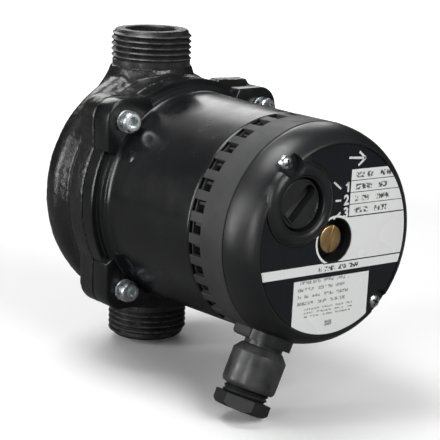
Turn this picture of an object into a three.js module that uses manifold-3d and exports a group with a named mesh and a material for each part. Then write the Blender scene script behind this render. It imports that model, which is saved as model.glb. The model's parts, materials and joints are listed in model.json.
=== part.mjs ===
// A glandless three-speed heating circulator, 130 mm between ports, as an assembly of separate solids.
// Millimetres, +Z up along the pipe line. The motor axis runs along -Y, so the label faces -Y.
// The origin is where the motor axis crosses the pipe line.
import * as THREE from "three";
import { mergeVertices } from "three/addons/utils/BufferGeometryUtils.js";
import Module from "manifold-3d";

const wasm = await Module();
wasm.setup();

// Ports and water ways
const PORT_LENGTH = 130;
const THREAD_R = 16.62;
const THREAD_ROOT_R = 15.3;
const THREAD_PITCH = 2.309;
const THREAD_TURNS = 5;
const COLLAR_R = 15.9;
const PORT_BORE_R = 10.5;
const PORT_BORE_DEPTH = 20;

// Positions along the motor axis, from the back of the casing to the front
const CASING_BACK = 24;
const CASING_EAR_BACK = -11.2;
const PARTING = -20.6;
const FLANGE_STEP = -27.6;
const FLANGE_FRONT = -30.6;
const HOUSING_FRONT = -82.3;
const BASE_REAR = -82.6;
const BASE_FRONT = -101.7;
const COVER_REAR = -102.0;
const LABEL_FLOOR = -114.7;
const COVER_RIM = -116.0;
const BOSS_CREST = -117.6;

// Radii about the motor axis
const BOWL_R = 49.6;
const FLANGE_R = 47.6;
const HOUSING_REAR_R = 42.8;
const HOUSING_FRONT_R = 41.8;
const HOUSING_BORE_R = 40.7;
const BASE_R = 42.0;
const BASE_WALL_R = 39.8;
const LABEL_R = 35.5;
const CAN_R = 24.6;
const SHAFT_R = 4.2;
const BEARING_BORE_R = 4.25;
const CHAMBER_R = 31;
const IMPELLER_R = 21.5;

// Flange ears and screws
const EAR_HALF = 42.4;
const SCREW_OFFSET = 34;
const EAR_CORNER_R = EAR_HALF - SCREW_OFFSET;
const SCREW_HEAD_R = 4.25;
const SCREW_HEAD_H = 5;
const SCREW_SHANK_R = 2.2;

// Vent slots of the terminal base
const SLOT_COUNT = 32;
const SLOT_WIDTH = 4.5;
const SLOT_DEPTH = 6.8;

// Speed selector
const KNOB_X = -17.5;
const KNOB_Z = 15.6;
const KNOB_R = 9.4;
const KNOB_FACE = -115.4;
const KNOB_SLOT_ANGLE = 43.4;
const BOSS_R = 15.2;

// Terminal cover screws: position in the face plane
const COVER_SCREWS = [
  { x: -22.3, z: 30.3 },
  { x: 24.3, z: -27.6 },
];
const COVER_SCREW_FLOOR = -110.2;
const COVER_SCREW_R = 3.1;

// Screws in the floor of the terminal base; the last one is the earth screw
const BASE_SCREWS = [
  { x: -30, z: -9 },
  { x: 30, z: -9 },
  { x: 3, z: 29 },
];

// Vent screw
const VENT_HOLE_R = 8.0;
const VENT_TUBE_BORE_R = 5.6;
const VENT_SCREW_R = 5.25;

// Cable gland, in its own frame: its axis is radial, towards seven o'clock
const GLAND_TILT_DEG = 25.3;
const GLAND_Y = -100.2;
const COLLAR_OUT = 44.5;
const NECK_R = 7.4;
const GLAND_BODY_R = 10.35;
const GLAND_BODY_END = 62;
const GLAND_BORE_R = 9.0;
const PRESS_THREAD_R = 8.7;
const PRESS_HEX_START = 65.6;
const PRESS_HEX_END = 70.4;
const PRESS_HEX_FLATS = 18.6;
const CABLE_R = 4.8;

const GAP = 0.3;

// --- geometry helpers ------------------------------------------------------------------------------

/** A closed three.js geometry as a manifold-3d solid, facing outwards. */
function solid(geometry) {
  const bare = geometry.clone();
  bare.deleteAttribute("normal");
  bare.deleteAttribute("uv");
  const merged = mergeVertices(bare, 1e-4);
  const kept = [];
  const index = merged.index.array;
  for (let i = 0; i < index.length; i += 3) {
    const [a, b, c] = [index[i], index[i + 1], index[i + 2]];
    if (a !== b && b !== c && c !== a) kept.push(a, b, c);
  }
  const vertProperties = new Float32Array(merged.attributes.position.array);
  const build = (triVerts) => new wasm.Manifold(new wasm.Mesh({ numProp: 3, vertProperties, triVerts }));
  const made = build(new Uint32Array(kept));
  if (made.volume() >= 0) return made;
  for (let i = 0; i < kept.length; i += 3) [kept[i + 1], kept[i + 2]] = [kept[i + 2], kept[i + 1]];
  return build(new Uint32Array(kept));
}

/** A manifold-3d solid as a three.js geometry. */
function toGeometry(made) {
  const mesh = made.getMesh();
  const position = new Float32Array(mesh.numVert * 3);
  for (let i = 0; i < mesh.numVert; i++) {
    position.set(mesh.vertProperties.subarray(i * mesh.numProp, i * mesh.numProp + 3), i * 3);
  }
  const geometry = new THREE.BufferGeometry();
  geometry.setAttribute("position", new THREE.BufferAttribute(position, 3));
  geometry.setIndex(new THREE.BufferAttribute(new Uint32Array(mesh.triVerts), 1));
  geometry.computeVertexNormals();
  return geometry;
}

/** All solids of a list joined. */
const join = (list) => list.reduce((sum, part) => sum.add(part));

/** A solid with each solid of a list cut away. */
const cut = (body, list) => list.reduce((rest, tool) => rest.subtract(tool), body);

/** A profile of [radius, y] pairs turned about the motor axis (x, z move the axis). */
function turned(profile, segments = 32, x = 0, z = 0) {
  const points = profile.map(([r, y]) => new THREE.Vector2(r, y));
  const onAxis = profile[0][0] === 0 && profile[profile.length - 1][0] === 0;
  if (!onAxis) points.push(points[0].clone());
  return solid(new THREE.LatheGeometry(points, segments).translate(x, 0, z));
}

/** A profile of [radius, z] pairs turned about the vertical. */
function turnedUpright(profile, segments = 20) {
  const points = profile.map(([r, z]) => new THREE.Vector2(r, z));
  const onAxis = profile[0][0] === 0 && profile[profile.length - 1][0] === 0;
  if (!onAxis) points.push(points[0].clone());
  return new THREE.LatheGeometry(points, segments).rotateX(Math.PI / 2);
}

/** A cylinder along Y between two y positions. */
function rod(r, yFrom, yTo, segments = 24, x = 0, z = 0) {
  const height = Math.abs(yTo - yFrom);
  const shape = new THREE.CylinderGeometry(r, r, height, segments);
  return solid(shape.translate(x, (yFrom + yTo) / 2, z));
}

/** A cylinder along Z between two z positions. */
function post(r, zFrom, zTo, segments = 28, x = 0, y = 0) {
  const shape = new THREE.CylinderGeometry(r, r, Math.abs(zTo - zFrom), segments);
  return solid(shape.rotateX(Math.PI / 2).translate(x, y, (zFrom + zTo) / 2));
}

/** A box from its low corner to its high corner. */
function block(low, high) {
  const size = high.map((v, i) => v - low[i]);
  const middle = high.map((v, i) => (v + low[i]) / 2);
  return solid(new THREE.BoxGeometry(...size).translate(...middle));
}

/** An outline in the face plane (x, z) as a prism between two y positions. */
function prism(shape, yFrom, yTo, curveSegments = 10) {
  const depth = Math.abs(yTo - yFrom);
  const extruded = new THREE.ExtrudeGeometry(shape, { depth, bevelEnabled: false, curveSegments });
  return solid(extruded.rotateX(Math.PI / 2).translate(0, Math.max(yFrom, yTo), 0));
}

/** A round passage of one radius along a smooth curve. */
function passage(points, r, steps = 8, sides = 12) {
  const path = new THREE.CatmullRomCurve3(points.map((p) => new THREE.Vector3(...p)));
  const section = new THREE.Shape();
  section.absarc(0, 0, r, 0, 2 * Math.PI, false);
  const options = { steps, extrudePath: path, curveSegments: sides / 2, bevelEnabled: false };
  return solid(new THREE.ExtrudeGeometry(section, options));
}

/** A torus about the motor axis. */
function ring(r, minor, y, segments = 24) {
  const profile = [];
  for (let i = 0; i < 6; i++) {
    const a = (i / 6) * 2 * Math.PI;
    profile.push([r + minor * Math.cos(a), y + minor * Math.sin(a)]);
  }
  return turned(profile, segments);
}

const finish = {
  castBlack: { color: 0x16171a, roughness: 0.5, metalness: 0.3 },
  glossBlack: { color: 0x111317, roughness: 0.28, metalness: 0.2 },
  charcoal: { color: 0x2c2e30, roughness: 0.75, metalness: 0 },
  coverBlack: { color: 0x15171b, roughness: 0.4, metalness: 0 },
  zinc: { color: 0xc6ccd0, roughness: 0.3, metalness: 1 },
  brass: { color: 0xc29a5b, roughness: 0.3, metalness: 1 },
  steel: { color: 0xa9adb0, roughness: 0.35, metalness: 1 },
  lamination: { color: 0x6d7075, roughness: 0.5, metalness: 0.9 },
  copper: { color: 0xa4552a, roughness: 0.4, metalness: 0.8 },
  ceramic: { color: 0xe8e2d4, roughness: 0.25, metalness: 0 },
  carbon: { color: 0x2b2b2d, roughness: 0.5, metalness: 0.1 },
  rubber: { color: 0x1a1a1a, roughness: 0.85, metalness: 0 },
  composite: { color: 0xcfc9b4, roughness: 0.5, metalness: 0 },
  label: { color: 0x1b1e24, roughness: 0.35, metalness: 0 },
  capacitor: { color: 0xd9d9d4, roughness: 0.45, metalness: 0 },
};

const pump = new THREE.Group();

/** Adds one named piece to a group. */
function piece(name, made, look, group = pump) {
  const mesh = new THREE.Mesh(toGeometry(made), new THREE.MeshStandardMaterial(finish[look]));
  mesh.name = name;
  group.add(mesh);
  return mesh;
}

// --- casing ----------------------------------------------------------------------------------------

/** One flange ear in the quadrant of signs sx, sz. */
function earShape(sx, sz, grow = 0) {
  const half = EAR_HALF + grow;
  const corner = EAR_CORNER_R + grow;
  const points = [[19.4, 35.5], [22.5, half]];
  for (let i = 0; i <= 4; i++) {
    const a = Math.PI / 2 - (i / 4) * (Math.PI / 2);
    points.push([SCREW_OFFSET + corner * Math.cos(a), SCREW_OFFSET + corner * Math.sin(a)]);
  }
  points.push([half, 22.5], [38.8, 20.2], [30, 18]);
  return new THREE.Shape(points.map(([x, z]) => new THREE.Vector2(sx * x, sz * z)));
}

const quadrants = [[-1, 1], [1, 1], [1, -1], [-1, -1]];

/** Threaded port end with its run-out collar and the flare that meets the bowl; side is 1 or -1. */
function portNeck(side) {
  const end = PORT_LENGTH / 2;
  const threadStart = end - THREAD_PITCH * THREAD_TURNS;
  const profile = [[0, 28], [15.2, 28], [15.2, 46], [COLLAR_R, 49.5], [COLLAR_R, threadStart]];
  for (let i = 0; i < THREAD_TURNS; i++) {
    const z = threadStart + i * THREAD_PITCH;
    profile.push([THREAD_R, z + 0.5 * THREAD_PITCH], [THREAD_ROOT_R, z + 0.98 * THREAD_PITCH]);
  }
  profile.push([THREAD_ROOT_R - 0.5, end], [0, end]);
  const straight = solid(turnedUpright(profile.map(([r, z]) => [r, side * z])));
  const flare = [[0, 22], [33, 22], [31, 30], [25, 38], [19.4, 45], [16, 50.5], [0, 50.5]];
  const wide = turnedUpright(flare.map(([r, z]) => [r, side * z])).scale(1, 0.72, 1).translate(0, 1.5, 0);
  return straight.add(solid(wide));
}

function pumpHousing() {
  const bowl = turned([
    [0, CASING_BACK], [14, 23.4], [26, 20.4], [36, 15], [43, 9.6], [48.3, 4], [BOWL_R, -1.5],
    [49, -6.5], [FLANGE_R, -10.5], [FLANGE_R, PARTING], [0, PARTING],
  ], 40);
  const ears = quadrants.map(([sx, sz]) => prism(earShape(sx, sz), CASING_EAR_BACK, PARTING, 6));
  const ahead = block([-60, PARTING - 20, -60], [60, PARTING, 60]);
  const outside = join([bowl, ...ears, portNeck(1), portNeck(-1)]).subtract(ahead);
  const chamber = turned([
    [0, PARTING - 1], [37, PARTING - 1], [37, -17.6], [CHAMBER_R, -17.6],
    [CHAMBER_R, -7.5], [28.5, -5], [0, -5],
  ], 28);
  const end = PORT_LENGTH / 2;
  const bores = [1, -1].map((s) => post(PORT_BORE_R, s * (end - PORT_BORE_DEPTH), s * (end + 1)));
  const suction = passage([[0, 0, -50], [0, 1, -42], [0, 7, -28], [0, 10, -14], [0, 10.5, 0]], 9.2);
  const eye = rod(10, 12, -6);
  const eyeBack = solid(new THREE.SphereGeometry(10, 16, 8).translate(0, 10.5, 0));
  const wearSeat = rod(12.8, -0.7, -6);
  const delivery = passage([[-22, -12, -6], [-22.5, -11, 8], [-15, -7, 25], [-4, -2, 40], [0, 0, 50]], 7.6);
  const tapped = quadrants.map(([sx, sz]) => (
    rod(2.5, -12.6, PARTING - 1, 12, sx * SCREW_OFFSET, sz * SCREW_OFFSET)
  ));
  return cut(outside, [chamber, ...bores, suction, eye, eyeBack, wearSeat, delivery, ...tapped]);
}

piece("pump_housing", pumpHousing(), "castBlack");
piece("housing_gasket", turned([[33, -17.9], [36.7, -17.9], [36.7, -18.9], [33, -18.9]], 36), "rubber");
piece("wear_ring", turned([[10.3, -1], [12.5, -1], [12.5, -5], [10.3, -5]], 24), "steel");

// --- rotor and impeller ----------------------------------------------------------------------------

function impeller() {
  const hub = turned([
    [BEARING_BORE_R, -4], [6.4, -4], [6.4, -13.4], [IMPELLER_R, -13.5], [IMPELLER_R, -15],
    [BEARING_BORE_R, -15],
  ], 28);
  const vanes = [];
  for (let i = 0; i < 6; i++) {
    const outline = new THREE.Shape();
    const inner = [];
    const outer = [];
    for (let k = 0; k <= 4; k++) {
      const r = 6 + (k / 4) * (IMPELLER_R - 6.2);
      const a = (i * Math.PI) / 3 + (k / 4) * 1.05;
      inner.push([r * Math.cos(a), r * Math.sin(a)]);
      outer.push([r * Math.cos(a + 1.5 / r), r * Math.sin(a + 1.5 / r)]);
    }
    const loop = [...inner, ...outer.reverse()];
    outline.setFromPoints(loop.map(([x, z]) => new THREE.Vector2(x, z)));
    vanes.push(prism(outline, -7.5, -13.8));
  }
  return join([hub, ...vanes]);
}

piece("impeller", impeller(), "composite");
piece("impeller_shroud", turned([
  [8.6, -2], [10, -2], [10, -5.9], [IMPELLER_R, -6], [IMPELLER_R, -7.2], [8.6, -7.2],
], 28), "composite");
piece("rotor_shaft", cut(rod(SHAFT_R, -3, -88, 20), [rod(1.4, -2, -89, 10)]), "ceramic");
piece("thrust_disc", turned([[4.5, -31], [9.5, -31], [9.5, -34], [4.5, -34]], 20), "carbon");
piece("rotor_core", turned([[4.5, -40], [22, -40], [22, -73], [4.5, -73]], 28), "lamination");
piece("rotor_sleeve", turned([
  [4.5, -38], [22.8, -38], [22.8, -75], [4.5, -75], [4.5, -73.4], [22.3, -73.4], [22.3, -39.6],
  [4.5, -39.6],
], 28), "steel");

// --- bearings, can and stator ----------------------------------------------------------------------

piece("rear_bearing", turned([[BEARING_BORE_R, -21], [6, -21], [6, -29.6], [BEARING_BORE_R, -29.6]], 20), "carbon");
piece("bearing_plate", turned([
  [6.3, -19.2], [36.6, -19.2], [36.6, -20.7], [9, -20.7], [9, -29.8], [6.3, -29.8],
], 32), "steel");
piece("rotor_can", turned([
  [23.9, -21], [36.6, -21], [36.6, -21.8], [CAN_R, -21.8], [CAN_R, -78.4], [6.9, -78.4],
  [6.9, -90], [3, -90], [3, -89.2], [6.2, -89.2], [6.2, -77.7], [23.9, -77.7],
], 32), "steel");
piece("front_bearing", turned([[BEARING_BORE_R, -79], [5.9, -79], [5.9, -88.6], [BEARING_BORE_R, -88.6]], 20), "carbon");
piece("can_seal", ring(26.6, 0.9, -23.2), "rubber");
piece("stator_core", turned([[25, -40], [40.4, -40], [40.4, -73], [25, -73]], 36), "lamination");

/** A winding head with rounded corners. */
function coil(yRear, yFront) {
  return turned([
    [26.5, yRear - 1.5], [28, yRear], [37, yRear], [39.2, yRear - 2], [39.2, yFront + 2], [37, yFront],
    [28, yFront], [26.5, yFront + 1.5],
  ], 28);
}

piece("coil_rear", coil(-30.4, -39.6), "copper");
piece("coil_front", coil(-73.4, -81), "copper");

// --- motor housing ---------------------------------------------------------------------------------

function motorHousing() {
  const shell = turned([
    [0, PARTING - GAP], [FLANGE_R, PARTING - GAP], [FLANGE_R, FLANGE_STEP], [45.2, FLANGE_STEP - 0.2],
    [44.9, -30.2], [43.6, -30.8], [43, -32], [HOUSING_REAR_R, -33.5], [HOUSING_FRONT_R, HOUSING_FRONT],
    [0, HOUSING_FRONT],
  ], 44);
  const ears = quadrants.map(([sx, sz]) => prism(earShape(sx, sz), PARTING - GAP, FLANGE_FRONT, 6));
  const stator = rod(HOUSING_BORE_R, -30, HOUSING_FRONT - 1, 32);
  const seat = rod(37, PARTING + 1, -22.1, 32);
  const throat = rod(25, -20, -31);
  const sealSeat = rod(28, -20, -24.4);
  const holes = quadrants.map(([sx, sz]) => (
    rod(2.8, PARTING + 1, FLANGE_FRONT - 1, 12, sx * SCREW_OFFSET, sz * SCREW_OFFSET)
  ));
  return cut(join([shell, ...ears]), [stator, seat, throat, sealSeat, ...holes]);
}

piece("motor_housing", motorHousing(), "glossBlack");

/** Socket head cap screw pointing at +Y with its head towards the front. */
function capScrew(x, z) {
  const seat = FLANGE_FRONT - GAP;
  const top = seat - SCREW_HEAD_H;
  const head = turned([
    [0, seat], [SCREW_HEAD_R, seat], [SCREW_HEAD_R, top + 0.5], [SCREW_HEAD_R - 0.5, top], [0, top],
  ], 20, x, z);
  const shank = rod(SCREW_SHANK_R, seat - 1, -13.4, 12, x, z);
  const socket = new THREE.CylinderGeometry(2.31, 2.31, 3, 6).translate(x, top + 1, z);
  return cut(head.add(shank), [solid(socket)]);
}

quadrants.forEach(([sx, sz], i) => {
  piece("flange_screw_" + (i + 1), capScrew(sx * SCREW_OFFSET, sz * SCREW_OFFSET), "zinc");
});

// --- terminal base ---------------------------------------------------------------------------------

const glandTurn = THREE.MathUtils.degToRad(GLAND_TILT_DEG);

/** Turns a solid made in the gland's own frame (axis along -Z) to where the gland is. */
function atGland(geometry) {
  return geometry.rotateY(glandTurn).translate(0, GLAND_Y, 0);
}

/** A profile of [radius, distance from the motor axis] pairs turned about the gland's axis. */
function turnedAtGland(profile, segments = 24) {
  return solid(atGland(turnedUpright(profile.map(([r, out]) => [r, -out]), segments)));
}

const glandHole = turnedAtGland([[0, 36], [NECK_R + GAP, 36], [NECK_R + GAP, 46], [0, 46]]);

function terminalBase() {
  const wall = turned([
    [BASE_WALL_R, BASE_REAR], [BASE_R, BASE_REAR], [BASE_R, BASE_FRONT], [BASE_WALL_R, BASE_FRONT],
  ], 48);
  const floor = turned([[9.6, -90.5], [41, -90.5], [41, -92.5], [9.6, -92.5]], 32);
  const innerRing = turned([[35, -83], [36.5, -83], [36.5, -91], [35, -91]], 32);
  const collarBox = new THREE.BoxGeometry(20, 10.4, COLLAR_OUT - 38).translate(0, 0, -(COLLAR_OUT + 38) / 2);
  const collar = solid(collarBox.translate(0, -96.5 - GLAND_Y, 0).rotateY(glandTurn).translate(0, GLAND_Y, 0));
  const posts = COVER_SCREWS.map(({ x, z }) => rod(4, -91, BASE_FRONT, 16, x, z));
  const pilots = COVER_SCREWS.map(({ x, z }) => rod(1.9, -93, BASE_FRONT - 1, 10, x, z));
  const screwHoles = BASE_SCREWS.map(({ x, z }) => rod(1.9, -88, -94, 10, x, z));
  const slots = [];
  for (let i = 0; i < SLOT_COUNT; i++) {
    const tool = new THREE.BoxGeometry(SLOT_WIDTH, SLOT_DEPTH + 1, 6);
    tool.translate(0, BASE_REAR + 1 - (SLOT_DEPTH + 1) / 2, 41);
    slots.push(solid(tool.rotateY((i / SLOT_COUNT) * 2 * Math.PI)));
  }
  const inside = rod(BASE_WALL_R, -92.5, BASE_FRONT - 1, 48);
  const body = join([wall, floor, innerRing, collar.subtract(inside), ...posts]);
  const front = block([-60, BASE_FRONT - 10, -60], [60, BASE_FRONT, 60]);
  return cut(body, [...slots, glandHole, front, ...pilots, ...screwHoles]);
}

piece("terminal_base", terminalBase(), "charcoal");
const coverGasket = turned([[39.6, -101.95], [40.6, -101.95], [40.6, -102.9], [39.6, -102.9]], 36);
piece("cover_gasket", coverGasket.subtract(glandHole), "rubber");

/** Small pan head screw: its head's underside is at y, and it points at +Y. */
function panScrew(x, z, y, r, headHeight, shankR, length, slotAngle) {
  const top = y - headHeight;
  const head = turned([[0, y], [r, y], [r, top + 0.9], [r - 0.6, top + 0.2], [0, top]], 16, x, z);
  const shank = rod(shankR, y - 0.5, y + length, 10, x, z);
  const slots = [0, 90].map((turn) => {
    const bar = new THREE.BoxGeometry(r * 1.15, 2.2, 0.8).translate(0, top + 0.1, 0);
    const angle = THREE.MathUtils.degToRad(slotAngle + turn);
    return solid(bar.rotateY(angle).translate(x, 0, z));
  });
  return cut(head.add(shank), slots);
}

BASE_SCREWS.forEach(({ x, z }, i) => {
  const earth = i === 2;
  const screw = panScrew(x, z, -92.8, earth ? 3 : 2.6, 2, 1.5, 4, 20 + 40 * i);
  piece(earth ? "earth_screw" : "base_screw_" + (i + 1), screw, earth ? "brass" : "zinc");
});

// --- electrical parts in the terminal space --------------------------------------------------------

const TERMINAL_X = 20;
const TERMINAL_Z = [-1, 8, 17];

function terminalBlock() {
  const body = block([13, -104, -6.5], [27, -92.8, 22.5]);
  const wells = TERMINAL_Z.map((z) => rod(2.7, -100, -105, 12, TERMINAL_X, z));
  const wireHoles = TERMINAL_Z.map((z) => block([12, -98.5, z - 1.8], [17, -95, z + 1.8]));
  return cut(body, [...wells, ...wireHoles]);
}

piece("terminal_block", terminalBlock(), "composite");
TERMINAL_Z.forEach((z, i) => {
  const screw = cut(rod(2.3, -100.3, -103, 12, TERMINAL_X, z), [
    block([TERMINAL_X - 3, -103.5, z - 0.4], [TERMINAL_X + 3, -102, z + 0.4]),
  ]);
  piece("terminal_screw_" + (i + 1), screw, "zinc");
});
const capacitorShape = new THREE.CapsuleGeometry(6.5, 14, 3, 16).rotateZ(Math.PI / 2);
piece("capacitor", solid(capacitorShape.translate(2, -100.5, -19.5)), "capacitor");

const spindleBore = rod(2.6, -92, -107, 16, KNOB_X, KNOB_Z);
const switchBox = block([KNOB_X - 8, -100.5, KNOB_Z - 8], [KNOB_X + 8, -92.8, KNOB_Z + 8]);
const switchNeck = rod(5, -100, -104.5, 20, KNOB_X, KNOB_Z);
piece("switch_body", cut(switchBox.add(switchNeck), [spindleBore]), "composite");
piece("switch_spindle", cut(rod(2.3, -93.5, -107, 16, KNOB_X, KNOB_Z), [
  block([KNOB_X - 0.5, -108, KNOB_Z - 3], [KNOB_X + 0.5, -105.5, KNOB_Z + 3]),
]), "charcoal");

// --- terminal cover --------------------------------------------------------------------------------

/** Outline of the label and of its recess: a disc less the part round the knob. */
function labelSolid(r, clearance, yFrom, yTo) {
  const disc = rod(r, yFrom, yTo, 44);
  const knobRound = rod(BOSS_R + clearance, yFrom + 1, yTo - 1, 28, KNOB_X, KNOB_Z);
  const corner = block([-60, yTo - 1, KNOB_Z + 2], [-13.4 + clearance, yFrom + 1, 60]);
  return cut(disc, [knobRound, corner]);
}

function terminalCover() {
  const outer = [
    [0, COVER_REAR], [41.8, COVER_REAR], [41.3, -106.5], [40.1, -110.8], [38.9, -113.2],
    [37.5, -115.2], [36.4, COVER_RIM], [35, -115.6], [0, -115.6],
  ];
  const shell = turned(outer, 44);
  const cavity = turned([
    [0, COVER_REAR + 1], [38.6, COVER_REAR + 1], [38.6, -105], [37.4, -109.5], [34, -112], [0, -112],
  ], 32);
  const boss = turned([
    [0, -112.5], [BOSS_R, -112.5], [BOSS_R, -115.6], [14.2, -117], [12.6, BOSS_CREST], [10.9, -117],
    [0, -117],
  ], 32, KNOB_X, KNOB_Z);
  const knobCup = turned([[0, -107.5], [11.6, -107.5], [11.6, -113], [0, -113]], 20, KNOB_X, KNOB_Z);
  const knobWell = rod(10, -109.3, -119, 28, KNOB_X, KNOB_Z);
  const spindleHole = rod(3, -106, -110, 12, KNOB_X, KNOB_Z);
  const ventWall = rod(9.8, -104, -113, 24);
  const ventHole = rod(VENT_HOLE_R, -103, -117, 28);
  const pillars = COVER_SCREWS.map(({ x, z }) => rod(5.6, COVER_REAR - GAP, -112.5, 16, x, z));
  const counterbores = COVER_SCREWS.map(({ x, z }) => rod(4.7, COVER_SCREW_FLOOR, -120, 20, x, z));
  const screwHoles = COVER_SCREWS.map(({ x, z }) => rod(2.1, -100, -111, 10, x, z));
  const recess = labelSolid(LABEL_R + GAP, -GAP, LABEL_FLOOR, -119);
  const hollow = shell.subtract(cavity);
  const fittings = join([knobCup, ventWall, ...pillars]).intersect(shell);
  const plate = cut(join([hollow, fittings, boss]), [recess]);
  const collarShape = new THREE.CylinderGeometry(10, 10, COLLAR_OUT - 37, 24).rotateX(Math.PI / 2);
  const collar = solid(atGland(collarShape.translate(0, 0, -(COLLAR_OUT + 37) / 2)));
  const rear = block([-60, COVER_REAR, -70], [60, -60, 70]);
  const insideFree = turned([[0, COVER_REAR + 1], [38.6, COVER_REAR + 1], [38.6, -105], [37, -110], [0, -110]], 32);
  const collarHalf = cut(collar, [rear, insideFree]);
  const gasketRoom = turned([
    [39.3, COVER_REAR + 1], [40.9, COVER_REAR + 1], [40.9, -103.2], [39.3, -103.2],
  ], 36);
  return cut(plate.add(collarHalf), [
    knobWell, spindleHole, ventHole, ...counterbores, ...screwHoles, glandHole, gasketRoom,
  ]);
}

piece("terminal_cover", terminalCover(), "coverBlack");
COVER_SCREWS.forEach(({ x, z }, i) => {
  const screw = panScrew(x, z, COVER_SCREW_FLOOR - GAP, COVER_SCREW_R, 2.8, 1.6, 14, 15 + 50 * i);
  piece("cover_screw_" + (i + 1), screw, "zinc");
});

const namePlate = cut(labelSolid(LABEL_R - 0.1, 0.4, LABEL_FLOOR - GAP, LABEL_FLOOR - 0.7), [
  rod(VENT_HOLE_R + 0.6, -113, -117, 28),
  rod(5.2, -113, -117, 20, COVER_SCREWS[1].x, COVER_SCREWS[1].z),
]);
piece("name_plate", namePlate, "label");

function selectorKnob() {
  const disc = turned([
    [0, -109.8], [KNOB_R, -109.8], [KNOB_R, KNOB_FACE + 0.4], [KNOB_R - 0.4, KNOB_FACE], [0, KNOB_FACE],
  ], 28, KNOB_X, KNOB_Z);
  const stem = rod(2.6, -107.3, -110, 12, KNOB_X, KNOB_Z);
  const bar = new THREE.BoxGeometry(2 * KNOB_R - 3, 4.6, 4.4).translate(-1.2, KNOB_FACE, 0);
  const slot = bar.rotateY(-THREE.MathUtils.degToRad(KNOB_SLOT_ANGLE)).translate(KNOB_X, 0, KNOB_Z);
  return cut(disc.add(stem), [solid(slot)]);
}

piece("selector_knob", selectorKnob(), "charcoal");

// --- vent screw ------------------------------------------------------------------------------------

const ventTube = turned([
  [7.2, -82], [9.2, -82], [9.2, -90.8], [7.6, -92], [7.6, -108], [VENT_TUBE_BORE_R, -108],
  [VENT_TUBE_BORE_R, -94.5], [5.6, -92.2], [3.2, -90.3], [7.2, -90.3],
], 24);
piece("vent_tube", ventTube, "charcoal");

function ventScrew() {
  const body = turned([
    [0, -92.6], [2.9, -92.6], [2.9, -95.4], [VENT_SCREW_R, -95.4], [VENT_SCREW_R, -112.7],
    [VENT_SCREW_R - 0.5, -113.2], [0, -113.2],
  ], 24);
  const slot = new THREE.BoxGeometry(12, 3, 1.3).translate(0, -113.2, 0);
  return body.subtract(solid(slot.rotateY(-THREE.MathUtils.degToRad(76))));
}

piece("vent_screw", ventScrew(), "brass");
piece("vent_seal", ring(4.2, 0.9, -94.2, 20), "rubber");

// --- cable gland -----------------------------------------------------------------------------------

piece("gland_body", turnedAtGland([
  [5.2, 36.2], [NECK_R, 36.2], [NECK_R, 46.2], [8.2, 46.4],
  [GLAND_BODY_R, 48.6], [GLAND_BODY_R, 60.8], [9.9, GLAND_BODY_END], [GLAND_BORE_R, GLAND_BODY_END],
  [GLAND_BORE_R, 49.5], [5.2, 49.5],
], 28), "charcoal");
piece("gland_seal", turnedAtGland([[CABLE_R, 49.8], [8.6, 49.8], [8.6, 53.4], [CABLE_R, 53.4]]), "rubber");
piece("gland_washer", turnedAtGland([[CABLE_R, 55.9], [8.6, 55.9], [8.6, 56.9], [CABLE_R, 56.9]]), "zinc");

function pressScrew() {
  const sleeve = [[CABLE_R, -57.2], [PRESS_THREAD_R, -57.2]];
  for (let i = 0; i < 3; i++) {
    const out = 61.2 + 1.5 * i;
    sleeve.push([PRESS_THREAD_R - 0.8, -out], [PRESS_THREAD_R, -(out + 0.75)]);
  }
  sleeve.push([PRESS_THREAD_R - 0.8, -(PRESS_HEX_START + 0.2)], [CABLE_R, -(PRESS_HEX_START + 0.2)]);
  const thread = solid(atGland(turnedUpright(sleeve, 24)));
  const circum = PRESS_HEX_FLATS / Math.sqrt(3);
  const height = PRESS_HEX_END - PRESS_HEX_START;
  const hexShape = new THREE.CylinderGeometry(circum, circum, height, 6).rotateX(Math.PI / 2);
  const turn = THREE.MathUtils.degToRad(19);
  const placed = hexShape.rotateZ(turn).translate(0, 0, -(PRESS_HEX_START + PRESS_HEX_END) / 2);
  const roundOff = turnedAtGland([
    [0, PRESS_HEX_START - 1], [12, PRESS_HEX_START - 1], [12, PRESS_HEX_END - 1.2],
    [9.4, PRESS_HEX_END + 0.1], [0, PRESS_HEX_END + 0.1],
  ], 24);
  const hex = solid(atGland(placed)).intersect(roundOff);
  const cable = turnedAtGland([[0, 56], [CABLE_R, 56], [CABLE_R, 72], [0, 72]], 24);
  return cut(thread.add(hex), [cable]);
}

piece("gland_press_screw", pressScrew(), "charcoal");

export default pump;
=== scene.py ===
"""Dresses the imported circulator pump: cast casing, painted motor, moulded terminal box, gland and label."""

import json
import logging
import math
from dataclasses import dataclass, field
from enum import Enum
from typing import Callable, Iterable, Sequence

import bmesh
import bpy
from mathutils import Matrix, Vector, noise


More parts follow.
